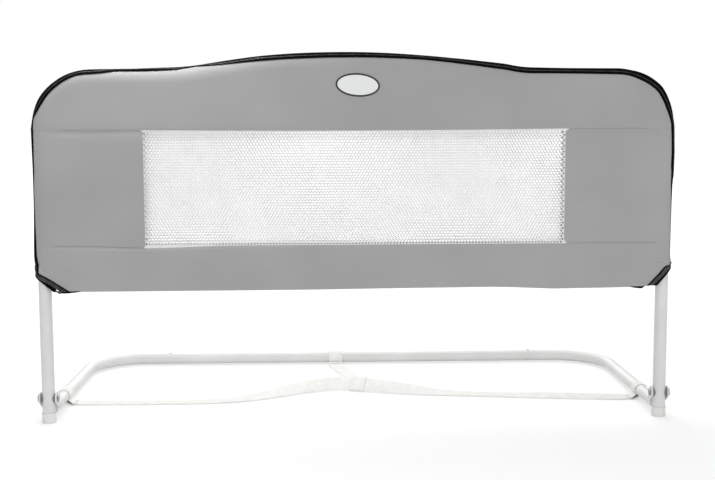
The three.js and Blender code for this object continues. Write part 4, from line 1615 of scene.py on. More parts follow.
@dataclass
class Hinges(Part):
    """Bolts, nuts, saddle washers and forks that join the guard to the base."""

    head_start: float = 13.4 * MM
    head_radius: float = 6.5 * MM
    head_height: float = 2.2 * MM
    socket: float = 2.0 * MM
    nut_radius: float = 5.4 * MM
    nut_bore: float = 3.25 * MM
    washer_faces: tuple[float, float] = (5.0 * MM, 10.8 * MM)
    washer_radius: float = 7 * MM
    ear_faces: tuple[float, float] = (11.1 * MM, 13.1 * MM)
    web_faces: tuple[float, float] = (12.6 * MM, 14.6 * MM)
    web_radius: float = 9.3 * MM
    spigot_end: float = 36.6 * MM
    spigot_radius: float = 7.8 * MM
    shank: float = 3 * MM
    ear_radius: float = 9.5 * MM
    tongue: float = 0.36

    def build(self) -> None:
        """Makes both hinges."""
        for side in Side:
            for step, sign in (("outer", side.value), ("inner", -side.value)):
                washer = self.washer(side, step, sign)
                install(washer, Body.GUARD, self.finishes.nylon, [f"{side.word}_{step}_saddle_washer"])
            install(self.bolt(side), Body.GUARD, self.finishes.zinc, [f"{side.word}_hinge_bolt"])
            install(self.nut(side), Body.GUARD, self.finishes.zinc, [f"{side.word}_hinge_nut"])
            install(self.fork(side), Body.BASE, self.finishes.paint, [f"{side.word}_hinge_fork"])

    def at(self, side: Side, reach: float) -> Vector:
        """A point on the hinge's axis, so far from the leg's axis towards the outside."""
        return Vector((side.value * (self.plan.half + reach), self.plan.plane, self.plan.pivot))

    def fork(self, side: Side) -> Piece:
        """The arm's end: two rounded ears beside the leg, a web behind it and a spigot in the arm.

        Args:
            side: The end of the guard that it is made for.

        Returns:
            The fork.
        """
        leg = side.value * self.plan.half
        ears = [self.ear(side, sign) for sign in (-1, 1)]
        tilt = self.plan.base_frame
        web_start, web_end = (tilt @ Vector((leg, reach, 0)) for reach in self.web_faces)
        web = ease(cylinder("web", web_start, web_end, self.web_radius), 0.3 * MM)
        middle = web_start + Vector((0, MM, 6.4 * MM))
        bridge = ease(block("bridge", (26.2 * MM, 2 * MM, 5.6 * MM), middle), 0.4 * MM)
        spigot_end = tilt @ Vector((leg, self.spigot_end, 0))
        spigot = cylinder("spigot", web_end, spigot_end, self.spigot_radius, 40)
        ease(spigot, 0.8 * MM)
        fork = joined(f"hinge_fork_{side.word}", [*ears, bridge, web, spigot])
        bpy.ops.object.shade_smooth_by_angle(angle=math.radians(35))
        return fork

    def ear(self, side: Side, sign: int) -> Piece:
        """One ear: a disc round the bolt with a tongue that runs back to the web behind the leg.

        Args:
            side: The hinge.
            sign: 1 for the ear on the +X side of the leg, -1 for the other.

        Returns:
            The ear, drilled for the bolt.
        """
        leg = side.value * self.plan.half
        bolt = Vector((leg, self.plan.plane, self.plan.pivot))
        inner, outer = (Vector((sign * reach, 0, 0)) for reach in self.ear_faces)
        ear = cylinder("ear", bolt + inner, bolt + outer, self.ear_radius, 56)
        target = Vector((0, 11.2 * MM, -13.4 * MM))
        way = target.normalized()
        with edit_mode(ear):
            pick_verts(ear, lambda place: (place - bolt).dot(way) > 0.1 * MM)
            bpy.ops.transform.resize(value=(1, self.tongue, self.tongue), center_override=tuple(bolt))
            bpy.ops.transform.translate(value=tuple(target))
        ease(ear, 0.4 * MM)
        drill(ear, bolt + inner * 0.5, bolt + outer * 1.5, self.shank + 0.3 * MM)
        return outward(ear, 35)

    def bolt(self, side: Side) -> Piece:
        """A button-head bolt with a hexagon socket.

        Args:
            side: The end of the guard that it is made for.

        Returns:
            The bolt.
        """
        out = side.value
        foot, top = self.head_start, self.head_start + self.head_height
        start, end = self.at(side, foot), self.at(side, top)
        bolt = cylinder(f"hinge_bolt_{side.word}", start, end, self.head_radius)
        with edit_mode(bolt, "FACE"):
            pick_faces(bolt, lambda middle, normal: normal.x * out < -0.9)
            bpy.ops.mesh.inset(thickness=self.head_radius - self.shank)
            bpy.ops.mesh.extrude_region_move(TRANSFORM_OT_translate={"value": (-out * (foot + top), 0, 0)})
        with edit_mode(bolt, "EDGE"):
            pick_verts(bolt, lambda place: abs(place.x - end.x) < 0.01 * MM)
            bpy.ops.mesh.bevel(offset=1.5 * MM, segments=6, affect="EDGES")
        drill(bolt, self.at(side, top - 1.3 * MM), self.at(side, top + 2 * MM), self.socket, 6)
        return outward(bolt, 30)

    def nut(self, side: Side) -> Piece:
        """A hexagon nut with chamfered corners on the bolt's inner end.

        Args:
            side: The end of the guard that it is made for.

        Returns:
            The nut.
        """
        start, end = -self.head_start, -self.head_start - self.head_height
        first, last = self.at(side, start), self.at(side, end)
        nut = cylinder(f"hinge_nut_{side.word}", first, last, self.nut_radius, 6)
        ease(nut, 0.35 * MM, degrees=40)
        drill(nut, self.at(side, start + MM), self.at(side, end - MM), self.nut_bore)
        return outward(nut, 30)

    def washer(self, side: Side, step: str, sign: int) -> Piece:
        """A moulded washer whose inner face is hollowed to sit on the round leg.

        Args:
            side: The end of the guard that it is made for.
            step: Its word in the piece's name, inner or outer.
            sign: 1 for the washer outside the leg, -1 for the one inside.

        Returns:
            The washer.
        """
        facing = sign * side.value
        start, end = (self.at(side, facing * reach) for reach in self.washer_faces)
        washer = cylinder(f"saddle_washer_{side.word}_{step}", start, end, self.washer_radius)
        x = side.value * self.plan.half
        leg = Vector((x, self.plan.plane, self.plan.pivot))
        reach = Vector((0, 0, 20 * MM))
        drill(washer, leg - reach, leg + reach, self.plan.tube + 0.3 * MM, 64)
        drill(washer, self.at(side, 0), self.at(side, facing * 20 * MM), self.shank + 0.3 * MM)
        return outward(washer, 30)


# Cover


@dataclass
class Outline:
    """The cover's edge, as stations that every offset from the tube's middle line shares."""

    plan: Plan
    depth: float = 11.5 * MM
    roll: float = 19 * MM
    start: float = -7 * MM
    settle_length: float = 15 * MM
    walls: tuple[float, float] = (14.4 * MM, 12.4 * MM)
    inner: float = -34 * MM
    outer: float = 20 * MM
    ways: np.ndarray = field(init=False)
    turns: np.ndarray = field(init=False)
    offsets: tuple[float, float, float] = field(init=False)
    rings: np.ndarray = field(init=False)
    run: np.ndarray = field(init=False)
    marks: dict[tuple[Side, Stretch], tuple[int, int]] = field(init=False)

    def __post_init__(self) -> None:
        """Measures the ways over the roll and along the edge, and lays out its stations."""
        self.turns = np.linspace(0, math.pi / 2, 200)
        curve = np.array([self.roll * np.sin(self.turns), self.depth * np.cos(self.turns)])
        lengths = np.linalg.norm(np.diff(curve, axis=1), axis=0)
        self.ways = np.concatenate([[0.0], np.cumsum(lengths)])
        self.offsets = (self.inner, self.bend, self.outer)
        self.rings = np.array([self.edge(offset) for offset in self.offsets])
        edge = self.edge(self.plan.cloth_reach)
        steps = np.linalg.norm(np.diff(edge, axis=0), axis=1)
        self.run = np.concatenate([[0.0], np.cumsum(steps)])
        self.marks = {}
        place, last = 0, len(edge) - 1
        for stretch in Stretch:
            end = place + stretch.steps
            self.marks[Side.LEFT, stretch] = (place, end)
            self.marks[Side.RIGHT, stretch] = (last - place, last - end)
            place = end

    @property
    def bend(self) -> float:
        """The offset at which the rounded lower corners have shrunk to a point."""
        return self.plan.cloth_reach - self.plan.fillet

    @property
    def crest(self) -> float:
        """The way over the roll from where it starts to the top of the edge."""
        return float(self.ways[-1])

    def way(self, run: float, offset: float) -> float:
        """The way over the roll that leads to an offset, at a distance along the edge.

        Args:
            run: The distance along the edge.
            offset: The offset from the tube's middle line.

        Returns:
            The way over the roll.
        """
        flat = offset - self.start
        rolled = float(np.interp(math.asin(min(max(flat, 0) / self.roll, 1)), self.turns, self.ways))
        return flat + (rolled - flat) * self.weight(run) if flat > 0 else flat

    def hem_wave(self, x: float) -> float:
        """How far the hem waves up from its height; at the right end it is drawn up.

        Args:
            x: The place along the hem.

        Returns:
            The height over the plain hem.
        """
        knots = (-0.475, -0.3, -0.08, 0.07, 0.205, 0.235, 0.295, 0.37, 0.431, 0.438, 0.446, 0.475)
        waves = (0.0, 0.2, 0.6, 1.9, 2.8, 2.0, -0.6, 0.2, 1.2, 2.6, 3.0, 2.0)
        return float(np.interp(x, knots, waves)) * MM

    def edge(self, offset: float) -> np.ndarray:
        """The edge at an offset: the left half, then the right half mirrored.

        Args:
            offset: The offset from the tube's middle line.

        Returns:
            Its points, as rows of x and z.
        """
        left = self.half_edge(offset, self.plan.left_slant)
        right = self.half_edge(offset, self.plan.right_slant)
        return np.array([*left, *[(-x, z) for x, z in right[-2::-1]]])

    def half_edge(self, offset: float, slant: tuple[float, float]) -> list[tuple[float, float]]:
        """One half of the edge, from the hem to the middle of the hump.

        Args:
            offset: The distance outside the tube's middle line.
            slant: The run and rise of the slanted lower corner.

        Returns:
            Its points as x and z, drawn on the left.
        """
        plan = self.plan
        across, rise = slant
        angle = math.atan2(rise, across)
        hem_x, _ = self.slant_ends(offset, slant)
        round_x = -plan.half - self.bend
        _, round_z = self.slant_ends(self.bend, slant)
        degrees = math.degrees(angle)
        if offset > self.bend:
            bow = arc(round_x, round_z, offset - self.bend, 270 - degrees, 180, Stretch.FILLET.steps)
        else:
            bow = [(-plan.half - offset, self.slant_ends(offset, slant)[1])] * (Stretch.FILLET.steps + 1)
        side_x = -plan.half - offset
        corner_z = plan.top - plan.corner
        points = straight((hem_x, plan.hem), bow[0], Stretch.SLANT.steps)
        points += bow[:-1]
        points += straight(bow[-1], (side_x, plan.net_bottom), Stretch.SIDE_LOW.steps)
        points += straight((side_x, plan.net_bottom), (side_x, plan.net_top), Stretch.SIDE_MID.steps)
        points += straight((side_x, plan.net_top), (side_x, corner_z), Stretch.SIDE_TOP.steps)
        centre_x = plan.corner - plan.half
        points += arc(centre_x, corner_z, plan.corner + offset, 180, 90, Stretch.CORNER.steps)[:-1]
        flat_z = plan.top + offset
        points += straight((centre_x, flat_z), (-plan.hump_half, flat_z), Stretch.SHOULDER.steps)
        turn = 2 * math.atan(plan.hump_rise / plan.hump_half)
        both = plan.hump_half / math.sin(turn)
        ease, wide = both * plan.hump_ease_share, both * (1 - plan.hump_ease_share)
        lean = math.degrees(turn)
        ease_z = plan.top + ease
        points += arc(-plan.hump_half, ease_z, ease - offset, -90, -90 + lean, Stretch.EASE.steps)[:-1]
        wide_z = plan.top + plan.hump_rise - wide
        points += arc(0, wide_z, wide + offset, 90 + lean, 90, Stretch.HUMP.steps)
        return points

    def slant_ends(self, offset: float, slant: tuple[float, float]) -> tuple[float, float]:
        """Where a slanted edge meets the hem and the side line, at an offset.

        Args:
            offset: The distance outside the tube's middle line.
            slant: The slant's run and rise at the cloth's own edge.

        Returns:
            The x of its end on the hem and the z of its end on the side line.
        """
        plan = self.plan
        across, rise = slant
        angle = math.atan2(rise, across)
        out = offset - plan.cloth_reach
        side_z = plan.hem + rise - out * (1 - math.sin(angle)) / math.cos(angle)
        hem_x = (rise * math.cos(angle) - out) / math.sin(angle) - plan.half - plan.cloth_reach
        return hem_x, side_z

    def at(self, run: float, offset: float) -> np.ndarray:
        """The point at a distance along the edge and an offset from the tube's middle line.

        Args:
            run: The distance along the edge.
            offset: The offset from the tube's middle line.

        Returns:
            The point as x and z.
        """
        place = float(np.interp(run, self.run, np.arange(len(self.run))))
        i = min(int(place), len(self.run) - 2)
        rows = self.rings[:, i] + (self.rings[:, i + 1] - self.rings[:, i]) * (place - i)
        x, z = (float(np.interp(offset, self.offsets, rows[:, k])) for k in range(2))
        fade = min(max(1 - (z - self.plan.hem) / (25 * MM), 0), 1)
        return np.array([x, z + self.hem_wave(x) * fade])

    def spot(self, side: Side, stretch: Stretch, share: float) -> float:
        """The distance along the edge at a share of one stretch, counted from the hem."""
        start, end = self.marks[side, stretch]
        return float(self.run[start] + (self.run[end] - self.run[start]) * share)

    def weight(self, run: float) -> float:
        """1 where the edge rolls over a tube, 0 on the slanted corners, where it lies flat.

        Args:
            run: The distance along the edge.

        Returns:
            The weight, from 0 to 1.
        """
        left = self.spot(Side.LEFT, Stretch.FILLET, 1.0)
        right = self.spot(Side.RIGHT, Stretch.FILLET, 1.0)
        share = float(np.clip(min(run - left, right - run) / self.settle_length, 0, 1))
        return share * share * (3 - 2 * share)

    def between(self, run: float, knots: Sequence[tuple[Any, ...]]) -> float:
        """A value at a distance along the edge, between those given for its stretches.

        Args:
            run: The distance along the edge.
            knots: Rows of a side, a stretch, and pairs of a share of it and the value there.

        Returns:
            The value.
        """
        runs, values = [], []
        for side, stretch, *pairs in knots:
            runs += [self.spot(side, stretch, share) for share, _ in pairs]
            values += [value for _, value in pairs]
        return float(np.interp(run, runs, values))

    def bulge(self, run: float) -> float:
        """How far the cloth stands off the tube's line.

        It bridges the hollows beside the hump, bulges at the right corner and is
        drawn in beside the corners and along the lower right side.

        Args:
            run: The distance along the edge.

        Returns:
            The cloth's distance outside the line.
        """
        left, right = Side.LEFT, Side.RIGHT
        knots = (
            (left, Stretch.SLANT, (0.0, 1.4), (0.4, 1.0), (0.9, -0.3)),
            (left, Stretch.FILLET, (0.5, -3.4), (1.0, -4.4)),
            (left, Stretch.SIDE_LOW, (0.1, -3.0), (0.2, -1.2), (0.4, 0.8), (0.55, 1.3)),
            (left, Stretch.SIDE_MID, (0.0, 1.1), (0.165, 0.0), (0.335, -0.9), (0.665, -1.2), (0.835, -0.6)),
            (left, Stretch.CORNER, (0.0, -0.2), (0.06, -1.4), (0.12, -1.8), (0.35, -0.5), (0.6, -1.9),
                (0.9, -1.9)),
            (left, Stretch.SHOULDER, (0.1, -1.2), (0.5, -0.6), (0.7, 0.3), (0.9, 1.1)),
            (left, Stretch.EASE, (0.5, 2.0)),
            (left, Stretch.HUMP, (0.05, 1.1), (0.2, 1.2), (0.4, 1.7), (0.6, 1.2), (0.8, 0.4), (1.0, -0.2)),
            (right, Stretch.HUMP, (0.8, -0.9), (0.6, -1.6), (0.4, -1.7), (0.2, -0.7), (0.05, 0.7)),
            (right, Stretch.EASE, (0.5, 0.2)),
            (right, Stretch.SHOULDER, (0.8, -0.8), (0.6, -1.4), (0.1, -1.9)),
            (right, Stretch.CORNER, (0.85, -1.9), (0.65, 0.7), (0.45, 2.7), (0.25, 0.2), (0.1, -1.4),
                (0.0, 0.1)),
            (right, Stretch.SIDE_MID, (0.8, 1.4), (0.6, 1.0), (0.5, -1.2), (0.35, -1.9)),
            (right, Stretch.SIDE_LOW, (0.1, -2.2)),
            (right, Stretch.FILLET, (0.5, -4.4), (1.0, -4.0)),
            (right, Stretch.SLANT, (0.9, -0.2), (0.6, 0.7)),
        )
        return self.between(run, knots) * MM

    def place(
        self, run: float, way: float, lift: float = 0.0, face: Face = Face.FRONT
    ) -> tuple[float, float, float]:
        """A point on the cover near its edge.

        Args:
            run: The distance along the edge.
            way: The distance over the roll, from where it starts; past the crest it goes down the other face.
            lift: The height above the cloth's middle surface.
            face: The face that the way starts on.

        Returns:
            The point in the model's frame.
        """
        over = min(way, 2 * self.crest - way)
        sign = 1 if way <= self.crest else -1
        if over <= 0:
            rolled = (self.start + over, sign * (self.depth + lift))
        else:
            turn = float(np.interp(over, self.ways, self.turns))
            up, out = math.sin(turn) / self.roll, math.cos(turn) / self.depth
            steep = lift / math.hypot(up, out)
            rolled = (
                self.start + self.roll * math.sin(turn) + up * steep,
                sign * (self.depth * math.cos(turn) + out * steep),
            )
        weight = self.weight(run)
        wall = self.walls[0 if run < self.run[-1] / 2 else 1]
        edge = wall - self.start
        across = (self.crest - way) / (self.crest - edge)
        plain = (min(self.start + over, wall), (self.depth + lift) * min(max(across, -1), 1))
        offset = plain[0] + (rolled[0] - plain[0]) * weight
        deep = plain[1] + (rolled[1] - plain[1]) * weight
        # The cloth is drawn in only towards the crest, because below it the tube is close behind
        out = self.bulge(run)
        offset += out * (min(max(over / (8 * MM), 0), 1) if out > 0 else max(over / self.crest, 0) ** 3)
        x, z = self.at(run, offset)
        return float(x), self.plan.plane + face.value * deep, float(z)


def straight(start: Sequence[float], end: Sequence[float], steps: int) -> list[tuple[float, float]]:
    """Points on a straight line, its far end left out."""
    shares = [i / steps for i in range(steps)]
    return [tuple(a + (b - a) * share for a, b in zip(start, end)) for share in shares]


def arc(cx: float, cz: float, radius: float, start: float, end: float, steps: int) -> list[tuple[float, float]]:
    """Points on an arc, both ends with it.

    Args:
        cx: The centre's x.
        cz: The centre's z.
        radius: The arc's radius.
        start: Its first angle in degrees.
        end: Its last angle.
        steps: The number of stretches.

    Returns:
        The points as x and z.
    """
    angles = np.radians(np.linspace(start, end, steps + 1))
    return [(cx + radius * math.cos(a), cz + radius * math.sin(a)) for a in angles]


@dataclass
class Cover(Part):
    """The cloth cover: four panels and a net on each face, gusset, hem, zip and binding."""

    outline: Outline
    cloth: float = 0.9 * MM
    tape: float = 0.8 * MM
    seam: float = 0.5 * MM
    deep_row: float = -24 * MM
    tape_width: float = 3.6 * MM
    coil_width: float = 1.7 * MM
    coil_flat: float = 5.4 * MM
    outer_width: float = 5.7 * MM
    slit: float = 0.35 * MM
    tooth_pitch: float = 1.75 * MM
    tooth_half: float = 0.55 * MM
    back_offset: float = 8.8 * MM
    near_rows: int = 12
    # How far the cloth turns in at a seam, and less so over the tube
    turned_in: float = 1.3 * MM
    turned_less: float = 0.9 * MM
    ripple: float = 0.22 * MM
    net_dip: float = 0.6 * MM
    net_pitch: float = 4.7 * MM
    net_strand: float = 1.3 * MM
    pucker: float = 0.3 * MM
    pucker_pitch: float = 6.4 * MM
    # The folded tape ends under the hem: from x, share of the thickest place, to x, drop
    tail_ends: ClassVar[dict[Side, tuple[float, float, float, float]]] = {
        Side.LEFT: (-442 * MM, 0.25, -408 * MM, 2.3 * MM),
        Side.RIGHT: (412 * MM, 0.8, 433 * MM, 2.4 * MM),
    }

    def build(self) -> None:
        """Makes both faces and all that joins them."""
        for face in Face:
            for name, grid in (
                ("upper", self.upper(face)),
                ("lower", self.lower(face)),
                *((side.word, self.flank(face, side)) for side in Side),
            ):
                panel = sheet(f"cover_panel_{face.word}_{name}", self.settled(grid, face), self.cloth)
                install(panel, Body.GUARD, self.finishes.cloth, [f"cover_{face.word}_{name}"])
            net = self.net(face)
            install(net, Body.GUARD, self.finishes.net, [f"cover_{face.word}_net"])
        self.tapes()

    @staticmethod
    def cut_size(grid: np.ndarray) -> tuple[float, float]:
        """The width and length of the rectangle that a panel is cut from."""
        span = grid.reshape(-1, 3).max(axis=0) - grid.reshape(-1, 3).min(axis=0)
        return float(span[0]) + 8 * MM, float(span[2]) + 8 * MM

    def zip_way(self, run: float) -> float:
        """Where the zip's inner tape starts, as a way over the roll, at a distance along the edge.

        The zip wanders: it shows broadly over the hump and the corners, and lies
        round the edge, almost out of sight, along the sides. The knots give the
        offset from the tube's middle line in millimetres.

        Args:
            run: The distance along the edge.

        Returns:
            The way over the roll.
        """
        left, right = Side.LEFT, Side.RIGHT
        knots = (
            (left, Stretch.SLANT, (0.0, 0.2), (0.5, 2.2), (1.0, 6.0)),
            (left, Stretch.FILLET, (1.0, 7.2)),
            (left, Stretch.SIDE_LOW, (0.2, 6.0), (0.45, 6), (0.7, 7.2)),
            (left, Stretch.SIDE_MID, (0.04, 7.9), (0.165, 9.3), (0.335, 10.6), (0.5, 10.8), (0.665, 9),
                (0.835, 8.4)),
            (left, Stretch.SIDE_TOP, (0.0, 8)),
            (left, Stretch.CORNER, (0.09, 9), (0.15, 8.4), (0.18, 5.6), (0.31, 2.6), (0.6, 2.3),
                (0.85, 4.2), (1.0, 4.2)),
            (left, Stretch.SHOULDER, (0.15, 5.6), (0.3, 8.4), (0.8, 8.0), (1.0, 8.5)),
            (left, Stretch.EASE, (0.4, 9.6), (1.0, 10.6)),
            (left, Stretch.HUMP, (0.1, 8.4), (0.2, 6.8), (0.41, 5.1), (0.67, 4.4), (1.0, 4.6)),
            (right, Stretch.HUMP, (0.76, 4.4), (0.56, 4.9), (0.31, 4.0), (0.05, 4)),
            (right, Stretch.SHOULDER, (0.87, 3.8), (0.6, 3.5), (0.27, 2.8)),
            (right, Stretch.CORNER, (0.9, 1.9), (0.6, 1.1), (0.4, 0.9), (0.19, 2.6), (0.05, 5.6)),
            (right, Stretch.SIDE_MID, (0.95, 6.2), (0.67, 6), (0.5, 8.6), (0.33, 10.4), (0.16, 11.8)),
            (right, Stretch.SIDE_LOW, (0.5, 11.8), (0.15, 11.8)),
            (right, Stretch.FILLET, (1.0, 8.6), (0.3, 5.2)),
            (right, Stretch.SLANT, (1.0, 4.4), (0.9, 2.4), (0.5, 1.4), (0.0, 0.6)),
        )
        return self.outline.way(run, self.outline.between(run, knots) * MM)

    def tape_part(self, run: float) -> float:
        """The share of its full width that the inner tape shows: less beside the hump and on the slants.

        Args:
            run: The distance along the edge.

        Returns:
            The share, from 0 to 1.
        """
        left, right = Side.LEFT, Side.RIGHT
        knots = (
            (left, Stretch.FILLET, (0.5, 0.55)),
            (left, Stretch.SIDE_LOW, (0.3, 1.0)),
            (left, Stretch.SHOULDER, (0.75, 1.0), (1.0, 0.42)),
            (left, Stretch.HUMP, (0.16, 0.42), (0.4, 1.0)),
            (right, Stretch.SIDE_LOW, (0.3, 1.0)),
            (right, Stretch.FILLET, (0.5, 0.55)),
        )
        return self.outline.between(run, knots)

    def cloth_end(self, run: float, face: Face) -> float:
        """How far over the roll a face's cloth reaches, under the tape that holds it."""
        return (self.zip_way(run) if face is Face.FRONT else self.back_way(run)) + 1.6 * MM

    def back_way(self, run: float) -> float:
        """Where the binding of the back edge starts, as a way over the roll."""
        return self.outline.way(run, self.back_offset)

    def near_edge(self, run: float, face: Face) -> np.ndarray:
        """A row of points across the cover's border, from the flat cloth to under the tape.

        Args:
            run: The distance along the edge.
            face: The face of the cover.

        Returns:
            The points, one by row.
        """
        end = self.cloth_end(run, face)
        shares = np.linspace(0, 1, self.near_rows)
        ways = self.deep_row + (end - self.deep_row) * (1 - (1 - shares) ** 1.25)
        return np.array([self.outline.place(run, way, 0.0, face) for way in ways])

    def stations(self, side: Side, stretches: Sequence[Stretch]) -> list[float]:
        """The distances along the edge of all the stations of some stretches.

        Args:
            side: The end of the guard.
            stretches: The stretches in order.

        Returns:
            Distances along the edge, from the hem up.
        """
        indices = []
        for stretch in stretches:
            start, end = self.outline.marks[side, stretch]
            indices += list(range(start, end, 1 if end > start else -1))
        indices.append(self.outline.marks[side, stretches[-1]][1])
        return [float(self.outline.run[i]) for i in indices]

    def top_line(self, x: float) -> float:
        """Height of the seam under the upper panel, which sags a little over the net."""
        over_net = max(0.0, 1 - (x / self.plan.net_half) ** 2)
        return self.plan.net_top - 1.8 * MM * over_net

    def bottom_line(self, x: float) -> float:
        """Height of the seam over the lower panel, lowest near the net's left corner."""
        pull = 3.2 * MM * math.exp(-(((x + 0.30) / 0.07) ** 2))
        return self.plan.net_bottom - pull

    def hem_line(self, x: float) -> float:
        """Height of the hem."""
        return self.plan.hem + self.outline.hem_wave(x)

    def upper(self, face: Face) -> np.ndarray:
        """The upper panel: columns that fan from the seam over the net to the rolled edge.

        Args:
            face: The face of the cover.

        Returns:
            Its points by column and height.
        """
        above = [Stretch.SIDE_TOP, Stretch.CORNER, Stretch.SHOULDER, Stretch.EASE, Stretch.HUMP]
        runs = self.stations(Side.LEFT, above)
        runs += self.stations(Side.RIGHT, above)[-2::-1]
        corner = [self.outline.spot(side, Stretch.CORNER, 1.0) for side in Side]
        ends = runs[0], runs[-1]
        inner_x = self.plan.half - self.plan.corner
        columns = []
        for run in runs:
            border = self.near_edge(run, face)
            first = self.near_edge(ends[0] if run < corner[0] else ends[1], face)[0]
            x = border[0][0]
            if run < corner[0]:
                share = (run - ends[0]) / (corner[0] - ends[0])
                x = first[0] + (-inner_x - first[0]) * share
            elif run > corner[1]:
                share = (ends[1] - run) / (ends[1] - corner[1])
                x = first[0] + (inner_x - first[0]) * share
            foot = np.array([x, border[0][1], self.top_line(x) + self.seam / 2])
            shares = np.array([0, 0.02, 0.05, 0.09, 0.18, 0.32, 0.5, 0.68, 0.84])
            columns.append([*(foot + (border[0] - foot) * s for s in shares), *border])
        return np.array(columns)

    def lower(self, face: Face) -> np.ndarray:
        """The lower panel: rows from the hem up to the seam under the net.

        Args:
            face: The face of the cover.

        Returns:
            Its points by row and place across.
        """
        below = [Stretch.SLANT, Stretch.FILLET, Stretch.SIDE_LOW]
        rows = []
        left_runs, right_runs = self.stations(Side.LEFT, below), self.stations(Side.RIGHT, below)
        # Rows crowd towards the seam, so that it can turn in
        for left_run, right_run in zip(left_runs, right_runs):
            left, right = self.near_edge(left_run, face), self.near_edge(right_run, face)
            middle = [left[0] + (right[0] - left[0]) * share for share in np.linspace(0, 1, 120)[1:-1]]
            rows.append([*left[::-1], *middle, *right])
        grid = np.array(rows)
        bottom, top = grid[0, :, 2], grid[-1, :, 2]
        share = (grid[:, :, 2] - bottom) / np.maximum(top - bottom, 1e-6)
        seam = np.array([self.bottom_line(x) - self.seam / 2 for x in grid[-1, :, 0]])
        hem = np.array([self.hem_line(x) for x in grid[0, :, 0]])
        # Away from the rolled edge the rows lie evenly, also those that start on the small round corner
        even_left, even_right = (np.array(runs) - runs[0] for runs in (left_runs, right_runs))
        even_left, even_right = even_left / even_left[-1], even_right / even_right[-1]
        across = np.linspace(0, 1, grid.shape[1])
        even = even_left[:, None] * (1 - across) + even_right[:, None] * across
        held = np.clip(np.arange(self.near_rows)[::-1] / 4 - (self.near_rows - 5) / 4, 0, 1)
        loose = np.ones(grid.shape[1])
        loose[: self.near_rows], loose[-self.near_rows :] = held[::-1], held
        grid[:, :, 2] = hem + (seam - hem) * (share + (even - share) * loose)
        return grid

    def flank(self, face: Face, side: Side) -> np.ndarray:
        """A side panel: rows from the net's edge out to the rolled edge.

        Args:
            face: The face of the cover.
            side: The end of the guard.

        Returns:
            Its points by row and place across.
        """
        rows = []
        edge_x = side.value * (self.plan.net_half + self.seam / 2)
        for run in self.stations(side, [Stretch.SIDE_MID]):
            border = self.near_edge(run, face)
            foot = np.array([edge_x, border[0][1], border[0][2]])
            shares = (0, 0.01, 0.03, 0.07, 0.18, 0.35, 0.55, 0.75, 0.9)
            rows.append([*(foot + (border[0] - foot) * s for s in shares), *border])
        grid = np.array(rows)
        low, high = grid[0, :, 2].copy(), grid[-1, :, 2].copy()
        share = (grid[:, :, 2] - low) / (high - low)
        # Over the tube the seams close, so that nothing shows between the panels
        columns, tube = np.arange(grid.shape[1]), len(shares)
        gap = np.interp(columns, (0, tube + 2, tube + 6), (1, 1, -1)) * self.seam / 2
        bottom = np.array([self.bottom_line(x) for x in grid[0, :, 0]]) + gap
        top = np.array([self.top_line(x) for x in grid[0, :, 0]]) - gap
        grid[:, :, 2] = bottom + (top - bottom) * share
        return grid

    def settled(self, grid: np.ndarray, face: Face) -> np.ndarray:
        """Lets the cloth turn in at its seams and pucker near them and near the slanted corners.

        Args:
            grid: A panel's points.
            face: The face of the cover.

        Returns:
            The moved points.
        """
        plan = self.plan
        x, z = grid[:, :, 0], grid[:, :, 2]
        tops = np.vectorize(self.top_line)(x)
        bottoms = np.vectorize(self.bottom_line)(x)
        moved = np.zeros_like(x)
        on_tube = np.clip((np.abs(x) - plan.half + 14 * MM) / (6 * MM), 0, 1)
        for level in (tops, bottoms):
            away = np.abs(z - level)
            moved += (self.turned_in - self.turned_less * on_tube) * np.exp(-((away / (1.5 * MM)) ** 2))
            waves = np.sin(x * 2 * math.pi / (43 * MM)) + 0.6 * np.sin(x * 2 * math.pi / (27 * MM) + 1.0)
            moved += self.ripple * waves * np.exp(-away / (14 * MM)) * (np.abs(x) > plan.net_half - MM)
        beside = np.abs(np.abs(x) - plan.net_half)
        inside = (z > bottoms - MM) & (z < tops + MM)
        moved += self.net_dip * np.exp(-((beside / (2.2 * MM)) ** 2)) * inside
        for side, (run, rise) in ((Side.LEFT, plan.left_slant), (Side.RIGHT, plan.right_slant)):
            corner_x = side.value * (plan.half + plan.cloth_reach)
            length = math.hypot(run, rise)
            along = ((corner_x - x) * side.value * run + (plan.hem + rise - z) * rise) / length
            off = ((corner_x - x) * side.value * rise - (plan.hem + rise - z) * run) / length
            fold = np.exp(-np.abs(off) / (9 * MM)) * (along > -8 * MM) * (along < length + 12 * MM)
            moved += self.pucker * np.sin(along * 2 * math.pi / self.pucker_pitch) * fold
        grid = grid.copy()
        grid[:, :, 1] -= face.value * moved
        return grid

    def net(self, face: Face) -> Piece:
        """A knitted net: staggered six-sided gaps between fine strands, with a close-knit border.

        Args:
            face: The face of the cover.

        Returns:
            The net.
        """
        plan = self.plan
        pitch, strand, under = self.net_pitch, self.net_strand, 3 * MM
        rise = pitch * math.sqrt(3) / 2
        half = plan.net_half + under
        low, high = plan.net_bottom - under - 3 * MM, plan.net_top + under
        cell = pitch / math.sqrt(3)
        corners = [(cell * math.sin(a), cell * math.cos(a)) for a in np.radians(np.arange(0, 360, 60))]
        depth = plan.plane + face.value * (self.outline.depth - 1.0 * MM)
        points, faces = [], []
        for row in range(int((high - low) / rise) + 1):
            shift = pitch / 2 if row % 2 else 0.0
            for column in range(int(2 * half / pitch) + 1):
                cx = -half + column * pitch + shift
                cz = low + row * rise
                if cx > half or cz > high:
                    continue
                faces.append(tuple(range(len(points), len(points) + 6)))
                points += [(cx + x, depth, cz + z) for x, z in corners]
        net = from_faces(f"cover_net_{face.word}", points, faces)

